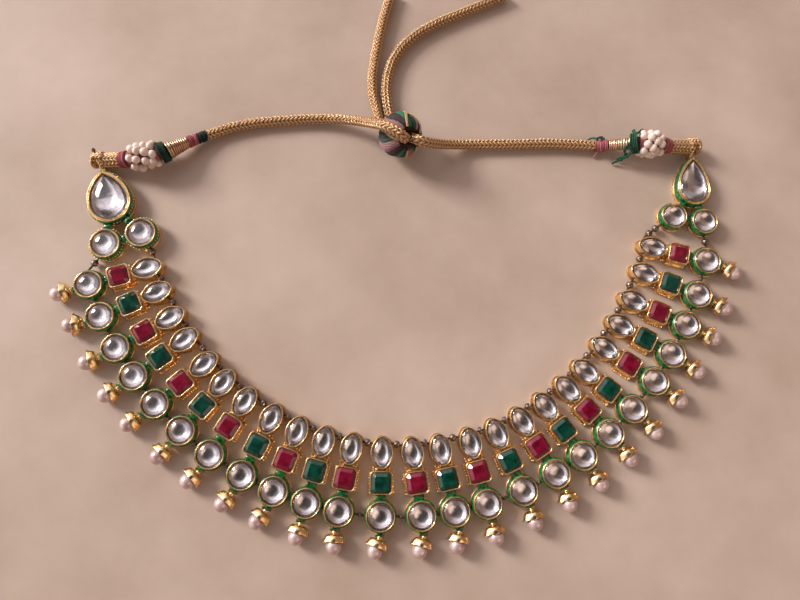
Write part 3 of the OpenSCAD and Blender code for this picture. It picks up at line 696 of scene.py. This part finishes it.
def scatter(name, points, size, tree, slot, *nodes, **settings):
    """A piece that is a plain mesh of the balls that a bead tree puts on these points"""
    seeds = bpy.data.meshes.new(name)
    seeds.from_pydata((np.asarray(points) * MM).tolist(), [], [])
    sized = seeds.attributes.new("size", "FLOAT", "POINT")
    sized.data.foreach_set("value", np.full(len(points), size, np.float32) * MM)
    holder = add_object(name + "_points", seeds)
    step = holder.modifiers.new("beads", "NODES")
    step.node_group = tree
    for item in tree.interface.items_tree:
        if item.item_type == "SOCKET" and item.name in settings:
            step[item.identifier] = settings[item.name]
    seen = holder.evaluated_get(bpy.context.evaluated_depsgraph_get())
    mesh = bpy.data.meshes.new_from_object(seen)
    mesh.name = name
    bpy.data.objects.remove(holder)
    declare(add_object(name, mesh), slot, *nodes)


half_bar = [(OVAL_LONG / 2 + 0.05, 1.75, 0.9), (OVAL_LONG / 2 + 0.2, 2.6, 0.5),
            (OVAL_LONG / 2 - 0.55, 2.75, 0.5),
            *((SQUARE_AT + x, SQUARE / 2 + 0.12, 0.5) for x in np.linspace(-3.0, 3.2, 8)),
            (SQUARE_AT + 3.4, SQUARE / 2 - 0.3, 0.9), (SQUARE_AT + 3.75, 2.6, 0.5),
            (SQUARE_AT - 3.9, 2.6, 0.5)]
whole_bar = [(x, hand * y, z) for hand in (-1, 1) for x, y, z in half_bar]
scatter("gold_granules", np.vstack([moved(whole_bar, on_bar(i)) for i in bar_numbers]),
        GRANULE, bead_tree("granules", gold, 2), "gold", Smallest=0.75, Largest=1.25, Seed=3)


def shoulder_wire(outline, matrix):
    """Where the beads of a milled wire lie round an outline"""
    ring = evenly(np.vstack([outline, outline[:1]]), 0.95)[:-1]
    return moved(level(ring, WIRE_Z), matrix)


wire_places = [shoulder_wire(round_outline(0.05), at) for at in end_rounds[:2]]
wire_places.append(shoulder_wire(drop_outline("left", 0.05), on_end_drop("left")))
scatter("left_milled_wire", np.vstack(wire_places), WIRE_BEAD,
        bead_tree("milled_wire", gold, 2), "gold", Smallest=0.95, Largest=1.05, Seed=5)

# The lip of every setting is rubbed down over its stone until it is a thin bright rim. The
# large drops have a second rim outside it, and each enamelled setting stands on a gilt foot.
CORNER_CUT = 0.7


def square_outline(inset):
    """A square with its corners cut, as the settings have it"""
    s, c = SQUARE / 2 - inset, CORNER_CUT
    corners = np.array([(s, c - s), (s, s - c), (s - c, s), (c - s, s), (-s, s - c), (-s, c - s),
                        (c - s, -s), (s - c, -s)])
    shares = np.linspace(0, 1, 4, endpoint=False)[:, None]
    return np.vstack([a + (b - a) * shares for a, b in zip(corners, np.roll(corners, -1, 0))])


def uneven(count, amount, seed):
    """A slow wander round a loop"""
    rng = np.random.default_rng(seed)
    return amount * sum(rng.uniform(-1, 1) * np.sin(k * turns(count) + rng.uniform(0, 6.28))
                        for k in (2, 3, 5, 8))


def rim(outline_at, outer, inner, rise, matrix, seed):
    """A bead of metal round the top of a setting, from the outer inset to the inner one"""
    middle, half = (outer + inner) / 2, (inner - outer) / 2
    layers = []
    for a in np.linspace(0, pi, 7):
        ring = outline_at(middle - half * cos(a))
        layers.append(level(ring, WALL_H + rise * sin(a) * (1 + uneven(len(ring), 0.16, seed))))
    layers += [level(outline_at(inset), WALL_H - 0.1) for inset in (inner, outer)]
    return looped(layers, matrix)


def foot(outline_at, matrix):
    """A gilt band round the foot of a setting, below its enamel"""
    profile = [(0.25, 0.62), (0.02, 0.62), (0, 0.8), (0, FOOT_HIGH - 0.12),
               (0.06, FOOT_HIGH), (0.25, FOOT_HIGH)]
    return looped([level(outline_at(inset), height) for inset, height in profile], matrix)


rims = []
for i in bar_numbers:
    at_square = on_bar(i) @ turned(SQUARE_AT, 0, 0)
    rims += [rim(oval_outline, 0.18, 0.52, 0.28, on_bar(i), 3 * i),
             rim(square_outline, 0.18, 0.52, 0.26, at_square, 3 * i + 1)]
for k, at in enumerate(on_rounds + end_rounds):
    rims += [rim(round_outline, 0.6, 0.98, 0.34, at, 100 + k), foot(round_outline, at)]
for side in ENDS:
    outline, at = lambda inset: drop_outline(side, inset), on_end_drop(side)
    rims += [rim(outline, 0.5, 0.9, 0.3, at, 201), rim(outline, 1.02, 1.36, 0.36, at, 202),
             foot(outline, at)]
make_piece("gold_rims", rims, [gold], "gold")

# Each drop hangs from a petal cap, pressed from thin gilt sheet: a bell over the pearl, whose
# brim waves and runs out into a curled petal at each side.
CAP_START, SHEET, NECK_BEAD, NECK_AT = 0.7, 0.2, 0.8, 0.35
BELL = [(1.3, 0), (1.85, 0.15), (2.25, 0.45), (2.5, 0.9), (2.65, 1.4)]


def lathed(layers, around):
    """Rings of points round +Z, from the radius and the height of each"""
    turn = turns(around)
    return [level(np.column_stack([r * np.cos(turn), r * np.sin(turn)]), z) for r, z in layers]


def on_surface(points):
    """Pressed flat where it would go below the surface that it lies on"""
    return np.column_stack([points[:, :2], np.maximum(points[:, 2], 0)])


def petal_cap(matrix, seed):
    """Points and faces of a cap, as a sheet that is closed round its edge"""
    around = 48
    turn = turns(around)
    side, front = np.abs(np.sin(turn)) ** 4, np.abs(np.cos(turn)) ** 4
    reach = (2.7 + 1.2 * side) * (1 + uneven(around, 0.012, seed))
    brim = 1.8 + 0.8 * side + 0.4 * front
    crease = 1 - 0.05 * np.abs(np.sin(2 * turn)) ** 3
    outside = [(r * (1 + 0.22 * side * (z > 0)), z) for r, z in BELL]
    bell = outside[-1][0]
    for share in (0.3, 0.6, 0.85, 1.0):
        lift = share - 0.5 * side * share ** 4
        outside.append((bell + (reach - bell) * share ** 0.9,
                        1.4 + (brim - 1.4) * lift + 0.35 * side * share))
    outside[2:] = [(r * crease, z) for r, z in outside[2:]]
    inside = [(r - 0.17, z + SHEET) for r, z in outside[::-1]]
    layers = [(r, CAP_START + np.clip(z, 0, 3))
              for r, z in outside + inside + [(0.5, 0.5), (0.5, 0)]]
    points, faces = looped(lathed(layers, around), matrix)
    return on_surface(points), faces


make_piece("lotus_caps", [petal_cap(on_drop(i), i) for i in bar_numbers], [gold], "gold",
           "petal_caps")
scatter("neck_beads", [on_drop(i) @ Vector((0, 0, NECK_AT)) for i in bar_numbers],
        NECK_BEAD, bead_tree("neck_beads", gold, 3), "gold", Smallest=0.95, Largest=1.05, Seed=9)

# The pearls are glass beads with a thick pearly lacquer, drilled through and held on their pins
# by a head in a small recess. They are a warm pink white, with a soft shine over a sharper one.
PEARL_R, PEARL_AT, PEARL_BORE, RECESS_R, RECESS_Z = 2.5, 4.5, 0.5, 0.85, 1.85

pearl = new_material("pearl", (0.62, 0.46, 0.44), 0.3, 0.35, Coat_Weight=1.0,
                     Coat_Roughness=0.07)
colour_noise(pearl, (0.52, 0.34, 0.34), (0.78, 0.62, 0.58), 0.004)
noise_bump(pearl, 0.0018, 0.12, 1.0)


def pearl_bead(matrix):
    """A ball turned round its bore, with the recess for the pin's head at its far end"""
    first, last = asin(PEARL_BORE / PEARL_R), asin(RECESS_R / PEARL_R)
    profile = [(PEARL_R * sin(a), -PEARL_R * cos(a)) for a in np.linspace(first, pi - last, 22)]
    profile += [(RECESS_R - 0.06, 2.2), (RECESS_R - 0.06, RECESS_Z), (PEARL_BORE, RECESS_Z)]
    return looped(lathed([(r, PEARL_AT + z) for r, z in profile], 32), matrix)


make_piece("pearl_drops", [pearl_bead(on_drop(i)) for i in bar_numbers], [pearl], "pearl",
           "pearls")

# The bars are strung on two twisted threads, one under the ovals and one under the rounds.
# Blackened white-metal beads space them on the upper thread, and tiny ones on the lower.
UPPER_AT, UPPER_OUT, LOWER_OUT, THREAD_Z, THREAD_D = -2.8, 3.7, 5.3, 1.7, 0.8
SPACER_D, SPACER_LONG, TINY_D, TINY_LONG = 2.5, 2.1, 1.5, 1.2


def thread_route(at, out, first, last):
    """From one end piece through every bar to the other"""
    through = [on_bar(i) @ Vector((at, hand * out, THREAD_Z))
               for i in bar_numbers for hand in (-1, 1)]
    return np.array([first, *through, last])


def pair_point(side, hand, inward):
    """A point just inside one of the two rounds of an end piece"""
    x, y, _ = on_end(side) @ Vector((0, hand * PAIR_GAP / 2, 0))
    return Vector((x + inward[0], y + inward[1], THREAD_Z))


UPPER_ROUTE = thread_route(UPPER_AT, UPPER_OUT, pair_point("left", -1, (1.2, -1.6)),
                           pair_point("right", 1, (-1.8, -0.9)))
LOWER_ROUTE = thread_route(ROUND_AT, LOWER_OUT, pair_point("left", 1, (-0.4, -1.9)),
                           pair_point("right", -1, (-0.2, -2.0)))


def strand(route, diameter, colour):
    """Points, faces, UV and dye of a two-ply thread along a route, darker between the plies as
    painted shade
    """
    step, twist = 0.2, 1.4
    line = smooth_route(route, step, 0.25)
    places = np.arange(len(line)) * step
    ply = np.abs(np.cos(turns(8) - pi * places[:, None] / twist))
    # Painted shade: the dye darkens in the groove between the two plies.
    dye_and_shade = np.array(colour) * (0.4 + 0.6 * ply.reshape(-1, 1))
    return *skin(line, diameter / 2 * (0.72 + 0.28 * ply), diameter * pi, places), dye_and_shade


cotton = thread_material("cotton", 0.6, 0.0, 4.0, 0.9, 0.55, 0.6)
BROWN = (0.16, 0.075, 0.045)
for level_name, route in (("upper", UPPER_ROUTE), ("lower", LOWER_ROUTE)):
    make_piece(f"{level_name}_strand", [strand(route, THREAD_D, BROWN)], [cotton],
               "brown_thread", f"{level_name}_thread")

dark_metal = metal("blackened_metal", (0.32, 0.26, 0.22), (0.06, 0.045, 0.04), 0.9, 0.2, 0.5,
                   0.3)


def between(a, b):
    """From +Z at the origin to the line from a to b"""
    return Matrix.Translation(a) @ Vector(b - a).to_track_quat("Z", "Y").to_matrix().to_4x4()


def spacer(a, b, share, long, diameter):
    """A ball with flat ends on the thread from a to b"""
    middle, around = np.linalg.norm(b - a) * share, 24
    layers = [(sqrt(max(diameter ** 2 / 4 - z ** 2, 0.1)), z + middle)
              for z in np.linspace(-long / 2, long / 2, 11)]
    return (moved(np.vstack(lathed(layers, around)), between(a, b)),
            ring_faces(len(layers), around, "capped"))


balls, tiny = [], []
for k in range(2, 2 * len(BARS), 2):
    a, b = UPPER_ROUTE[k:k + 2]
    balls.append(spacer(a, b, 0.5, min(SPACER_LONG, np.linalg.norm(b - a) - 0.6), SPACER_D))
    a, b = LOWER_ROUTE[k:k + 2]
    room_between = np.linalg.norm(b - a) - 0.1
    if room_between > 0.4:
        tiny.append(spacer(a, b, 0.5, min(room_between, TINY_LONG), TINY_D))
for route, stretch, share in ((UPPER_ROUTE, 0, 0.7), (LOWER_ROUTE, 0, 0.62),
                              (LOWER_ROUTE, -2, 0.3), (UPPER_ROUTE, -2, 0.2),
                              (UPPER_ROUTE, -2, 0.48)):
    balls.append(spacer(route[stretch], route[stretch + 1], share, SPACER_LONG, SPACER_D))
make_piece("spacer_balls", balls, [dark_metal], "antique_metal", "spacer_beads")
make_piece("tiny_spacers", tiny, [dark_metal], "antique_metal")

# Each end piece hangs from a fold of thick zari braid, which its wire loop passes through. The
# fold is bound with rose thread, and swells where strings of seed beads are wound over it.
LEFT_TIE = [(-109.3, 58.8, 2.9), (-98.8, 58.7, 4.2), (-96, 58.7, 5.2), (-85.3, 60.9, 5.7),
            (-83, 62.1, 5), (-76.6, 66.5, 3.2), (-73.8, 68, 2.7), (-70.8, 69.7, 2.1)]
RIGHT_TIE = [(108.4, 68.1, 2.9), (96.4, 67.8, 4), (93.1, 67.7, 5.2), (84.4, 67.9, 5.8),
             (82, 68, 5), (74.4, 68.3, 3), (70.2, 68.4, 2.1)]
STUB_D, CLUSTER_D, STUB_NOTCH = 5.6, 10.6, (1.5, 4.3)


def folded_braid(tie, towards_drop):
    """The fold: open on the side of the drop where the wire loop passes through it"""
    step, around = 0.15, 84
    a, b = np.array(tie[:2])
    line = a + (b - a) * np.linspace(0, 1, int(np.linalg.norm(b - a) / step))[:, None]
    places = np.arange(len(line))[:, None] * step
    turn = turns(around)
    outer = STUB_D / 2 * np.sqrt(np.clip(1 - (1 - places / 0.9) ** 2, 0.02, 1) ** (places < 0.9))
    over_loop = np.clip(np.minimum(places - 0.4, 5.4 - places), 0, 1)
    outer = outer + 0.75 * np.clip(np.cos(turn), 0, 1) ** 0.8 * over_loop
    away = np.abs((turn - towards_drop + pi) % (2 * pi) - pi)
    notch = np.clip(np.minimum(places - STUB_NOTCH[0], STUB_NOTCH[1] - places) / 0.4, 0, 1)
    outer = outer - 1.5 * notch * np.clip((1.3 - away) / 0.4, 0, 1)
    return braid(line, step, outer, depth=0.45, columns=14, pitch=1.3, around=around)


def tie_point(tie, place):
    """A point on a tie: 2.5 is halfway from its point 2 to its point 3"""
    return np.array([np.interp(place, range(len(tie)), column) for column in zip(*tie)])


def wound(tie, first, last, start_d, stop_d, pitch, ridge, colours, seed, tilt=0.0, gap_shade=0.35):
    """Turns of thread or wire round a straight stretch of a tie, each with its own dye, darker
    towards the gaps between turns as painted shade
    """
    start, stop = tie_point(tie, first), tie_point(tie, last)
    around, long = 30, np.linalg.norm(stop - start)
    places = np.linspace(0, long, int(long / pitch * 6))
    line = start + (stop - start) * places[:, None] / long
    phase = places[:, None] / pitch + np.arange(around) / around
    number, bulge = np.floor(phase).astype(int), np.abs(np.sin(pi * phase)) ** 0.8
    rng = np.random.default_rng(seed)
    lift = rng.uniform(-0.5, 0.5, 400)[number] * ridge * 0.8
    outer = np.interp(places, [0, long], [start_d / 2, stop_d / 2])[:, None] - ridge * 0.4
    radii = outer - ridge * (1 - bulge) + lift * bulge
    radii[[0, -1]] *= 0.8
    points, faces, uv = skin(line, radii, pi * start_d, places)
    points += tilt * np.cos(np.tile(turns(around), len(line)))[:, None] * (stop - start) / long
    dye_and_shade = np.array(colours)[rng.integers(0, len(colours), 400)][number]
    # Painted shade: each turn darkens towards the gaps beside it.
    dye_and_shade = dye_and_shade * (gap_shade + (1 - gap_shade) * bulge)[:, :, None]
    return points, faces, uv, dye_and_shade.reshape(-1, 3)


ROSE = [(0.80, 0.22, 0.27), (0.90, 0.33, 0.36), (0.66, 0.13, 0.18)]
MOSS = [(0.004, 0.055, 0.035), (0.01, 0.11, 0.06), (0.003, 0.035, 0.025)]
LEAF = [(0.01, 0.14, 0.07), (0.03, 0.24, 0.10), (0.006, 0.08, 0.05)]
corner_end = [(-107.4, 59.9, 4.8), (-108.0, 61.1, 5.3), (-108.3, 62.3, 5.0)]
make_piece("left_fold", [folded_braid(LEFT_TIE, pi / 2),
                         strand(corner_end, 1.3, (0.16, 0.06, 0.03))],
           [zari], "zari_braid", "left_braid_stub")
make_piece("right_fold", [folded_braid(RIGHT_TIE, 3 * pi / 2)], [zari], "zari_braid",
           "right_braid_stub")
for side, tie, seed in (("left", LEFT_TIE, 1), ("right", RIGHT_TIE, 2)):
    make_piece(f"{side}_rose_wrap", [wound(tie, 1, 2, 5.6, 6.2, 0.5, 0.22, ROSE, seed)],
               [cotton], "pink_thread", f"{side}_pink_wrap")

seed_bead = new_material("seed_beads", (0.80, 0.68, 0.60), 0.22, Coat_Weight=0.4)
colour_noise(seed_bead, (0.68, 0.51, 0.43), (0.92, 0.82, 0.75), 0.003)
noise_bump(seed_bead, 0.0012, 0.2, 1.0)
SEED_R, SEED_ROWS, SEEDS_IN_ROW, SEED_TWIST = 1.5, 7, 4, 1.3
bead_strings = bead_tree("bead_strings", seed_bead, 3)
for side, tie, seed in (("left", LEFT_TIE, 21), ("right", RIGHT_TIE, 22)):
    a, b = np.array(tie[2:4])
    rng = np.random.default_rng(seed)
    spots = []
    for row in range(SEED_ROWS):
        for k in range(SEEDS_IN_ROW):
            share = (k + 0.55 + 0.3 * (row % 2)) / (SEEDS_IN_ROW + 0.4)
            turn = 2 * pi * row / SEED_ROWS + SEED_TWIST * share
            out = CLUSTER_D / 2 - SEED_R - 1.3 * abs(2 * share - 1) ** 2.5
            place = (out * cos(turn), out * sin(turn), share * np.linalg.norm(b - a))
            spots.append(place + rng.uniform(-0.3, 0.3, 3))
    scatter(f"{side}_seed_beads", moved(spots, between(a, b)), SEED_R, bead_strings,
            "white_beads", f"{side}_bead_cluster", Smallest=0.9, Largest=1.04, Seed=seed)
    make_piece(f"{side}_bead_core", [wound(tie, 2, 3, 5.0, 5.4, 0.6, 0.25, ROSE, seed)],
               [cotton], "pink_thread")

# Beyond the beads each tie is whipped: a band of green thread, a taper of fine copper-gold
# wire, a rose tie, and a green knot where the cord goes in. Loose ends stand out at the knots.
wire = thread_material("gilt_copper_wire", 0.28, 0.9, 1.0, 0.4, 0.15, 0.1)
PALE_GOLD = [(1.0, 0.80, 0.52), (0.9, 0.66, 0.36)]
COPPER = [(0.95, 0.60, 0.40), (0.82, 0.47, 0.29)]
LOOP_D, END_D = 0.9, 0.8

make_piece("left_green_band", [wound(LEFT_TIE, 3, 4, 8, 7.6, 0.45, 0.3, MOSS, 5, tilt=-0.9)],
           [cotton], "green_thread", "left_green_wrap")
make_piece("left_wire_turns",
           [wound(LEFT_TIE, 4, 4.25, 7.1, 6.5, 1.0, 0.55, PALE_GOLD, 6, tilt=-0.3, gap_shade=0.15),
            wound(LEFT_TIE, 4.22, 5, 6.1, 4.2, 0.75, 0.32, COPPER, 6, gap_shade=0.1)],
           [wire], "copper_wire", "left_wire_cone")
make_piece("left_rose_tie", [wound(LEFT_TIE, 5, 6, 4.6, 4.3, 0.5, 0.3, ROSE, 7, tilt=0.3)],
           [cotton], "pink_thread", "left_pink_tie")
make_piece("left_knot", [wound(LEFT_TIE, 6, 7, 4.0, 4.2, 0.6, 0.35, MOSS, 8, tilt=0.4)],
           [cotton], "green_thread", "left_green_knot")

hanging = [strand(route, LOOP_D, LEAF[k % 3]) for k, route in enumerate((
    [(82.6, 66.5, 7.4), (82.0, 64.6, 6.6), (80.6, 63.4, 4.4), (78.4, 62.8, 2.2), (76.2, 62.2, 0.7)],
    [(82.2, 66.0, 7.0), (81.2, 64.4, 5.6), (80.0, 64.2, 3.0), (77.8, 63.6, 1.2)],
    [(82.8, 67.4, 8.6), (80.4, 67.0, 7.4), (79.2, 65.4, 5.4), (80.2, 63.8, 4.0), (79.0, 62.6, 2.4)],
    [(83.8, 71.0, 7.6), (85.6, 72.6, 7.0), (87.4, 72.4, 6.4), (86.2, 70.8, 7.8)],
    [(83.4, 70.6, 8.0), (82.0, 71.8, 7.2), (83.2, 72.8, 6.2)],
    [(81.6, 68.6, 8.2), (80.2, 66.6, 7.8), (81.2, 64.8, 6.8), (82.6, 65.8, 7.2)],
    [(82.4, 69.4, 8.2), (80.9, 68.2, 7.6), (80.6, 66.0, 6.6), (81.8, 64.4, 6.0)]))]
make_piece("right_green_loops",
           [wound(RIGHT_TIE, 3, 4, 8, 7.8, 0.6, 0.45, LEAF, 9, tilt=0.6), *hanging],
           [cotton], "green_thread", "right_green_wrap")
make_piece("right_wire_turns",
           [wound(RIGHT_TIE, 4, 4.52, 5.4, 5.0, 0.9, 0.45, PALE_GOLD, 10, tilt=0.25, gap_shade=0.15),
            wound(RIGHT_TIE, 4.5, 5, 4.7, 4.3, 0.75, 0.35, COPPER, 10, gap_shade=0.2)],
           [wire], "copper_wire", "right_wire_coil")
tuft = [strand(route, END_D, LEAF[k % 3]) for k, route in enumerate((
    [(73.0, 69.8, 3.8), (72.4, 71.0, 3.8), (71.4, 71.4, 3.2)],
    [(70.6, 69.6, 3.6), (69.8, 70.8, 3.4), (68.6, 71.2, 2.6), (67.6, 71.0, 1.6)],
    [(72.0, 69.8, 4.4), (71.0, 70.6, 4.6), (69.8, 70.2, 4.0)]))]
tail = strand([(71.4, 66.8, 2.6), (70.4, 65.6, 1.4), (69.6, 64.6, 0.6)], END_D, ROSE[1])
make_piece("right_rose_tie",
           [wound(RIGHT_TIE, 5, 6, 4.8, 4.6, 0.55, 0.35, ROSE, 11, tilt=0.3), *tuft, tail],
           [cotton], "pink_thread", "right_pink_tie")

# The slider is a ball of thread, wound through its own slot in bands of green, rose and black,
# with straps of zari over them. Its mouths widen where the cords go in, and it slides stiffly.
SLIDER_AT, SLIDER_R, SLIDER_TILT, SLIDER_HEADING, SLIDER_SPIN = (-1.7, 68.4, 8), 8, 46, -51, 54
SLOT_OFFSET, SLOT_R, MOUTH_R, MOUTH_AT = 1.9, CORD_D / 2 + 0.2, 5, 9.5
slider_place = (turned(*SLIDER_AT[:2], SLIDER_HEADING, z=SLIDER_AT[2])
                @ Matrix.Rotation(radians(SLIDER_TILT), 4, "Y")
                @ Matrix.Rotation(radians(SLIDER_SPIN), 4, "Z"))
DYES = dict(leaf=(0.02, 0.27, 0.11), moss=(0.006, 0.10, 0.05), black=(0.03, 0.015, 0.013),
            rose=(0.52, 0.26, 0.28))
BANDS = ("leaf black rose moss leaf black rose leaf black moss rose black leaf black rose leaf"
         " black moss").split()
# The last colour on this line is painted shade, for the inside of the mouths.
STRAP_DYE, STRAP_D, MOUTH_SHADE = (0.95, 0.62, 0.34), 0.5, np.array((0.16, 0.05, 0.03))

around = 640
turn = turns(around)
rng = np.random.default_rng(37)


def band_edges():
    """Where the bands part on one side of the ball, as shares of a turn"""
    wide = rng.uniform(0.4, 1.6, len(BANDS))
    return np.concatenate([[0], np.cumsum(wide)]) / wide.sum()


first_edges, last_edges = band_edges(), band_edges()
band_lift, band_slant = rng.uniform(-0.25, 0.2, len(BANDS)), rng.uniform(-5, 5, len(BANDS))
along_slot, across_slot = np.abs(np.cos(turn)), np.abs(np.sin(turn))
slot = np.where(along_slot * SLOT_R <= SLOT_OFFSET * across_slot,
                SLOT_R / np.maximum(across_slot, 1e-6),
                SLOT_OFFSET * along_slot
                + np.sqrt(np.maximum(SLOT_R ** 2 - (SLOT_OFFSET * across_slot) ** 2, 0)))
rim_angle = acos((SLIDER_R ** 2 + MOUTH_AT ** 2 - MOUTH_R ** 2) / (2 * SLIDER_R * MOUTH_AT))


def band_threads(angle):
    """How deep the surface lies and its dye, round the ball at one distance from a mouth. The dye
    is darker between the threads and at the edges of each band: painted shade
    """
    share = (angle - rim_angle) / (pi - 2 * rim_angle)
    edges = first_edges + (last_edges - first_edges) * share
    where = (turn / (2 * pi) + 0.015 * sin(3 * angle)) % 1
    band = np.clip(np.searchsorted(edges, where, "right") - 1, 0, len(BANDS) - 1)
    across = np.sin(pi * (where - edges[band]) / (edges[band + 1] - edges[band]))
    thread = np.abs(np.cos(turn * 36 + band_slant[band] * angle))
    deep = 0.22 * (1 - thread) + 0.4 * (1 - np.clip(across, 0, 1) ** 0.5) - band_lift[band]
    dye_and_shade = np.array([DYES[BANDS[k]] for k in band])
    # Painted shade: darker between the threads and towards the edges of each band, where they dip.
    return deep, dye_and_shade * ((0.4 + 0.6 * thread) * (0.5 + 0.5 * across ** 0.4))[:, None]


layers, shaded_dyes = [], []
for angle in np.linspace(pi - rim_angle, rim_angle, 64):
    deep, dye_and_shade = band_threads(angle)
    radius = SLIDER_R - 0.2 - deep
    layers.append((radius * sin(angle), radius * cos(angle)))
    shaded_dyes.append(dye_and_shade)
# Painted shade: the surface darkens to a deep brown as it goes down into each mouth.
for hand, shares in ((1, (0.25, 0.5, 0.75, 1)), (-1, (1, 0.75, 0.5, 0.25))):
    dye_and_shade = shaded_dyes[-1 if hand == 1 else 0]
    for share in shares:
        radius = SLIDER_R * sin(rim_angle) * (1 - share) + slot * share
        layers.append((radius, hand * (MOUTH_AT - np.sqrt(MOUTH_R ** 2 - radius ** 2))))
        shaded_dyes.append((dye_and_shade * (1 - share) + MOUTH_SHADE * share) * (0.7 - 0.4 * share))
points, faces = looped(lathed(layers, around), slider_place)
uv = unrolled(2 * pi * SLIDER_R, np.arange(len(layers)) * 0.5, around)
slider_parts = [(on_surface(points), faces, uv, np.vstack(shaded_dyes))]
for start, slant in ((0.5, 1.1), (1.9, -0.9), (3.3, -1.0), (4.7, 0.9), (5.6, -1.0)):
    for beside in (-0.035, 0.035):
        share = np.linspace(0, 1, 14)
        t, a = start + beside + slant * share, rim_angle + (pi - 2 * rim_angle) * share
        route = SLIDER_R * np.column_stack([np.sin(a) * np.cos(t), np.sin(a) * np.sin(t),
                                            np.cos(a)])
        points, *rest = strand(moved(route, slider_place), STRAP_D, STRAP_DYE)
        slider_parts.append((on_surface(points), *rest))
wound_thread = thread_material("wound_thread", 0.5, 0.0, 3.0, 0.3, 0.4, 0.4)
make_piece("wound_slider", slider_parts, [wound_thread], "slider_thread", "slider")

low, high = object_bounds()
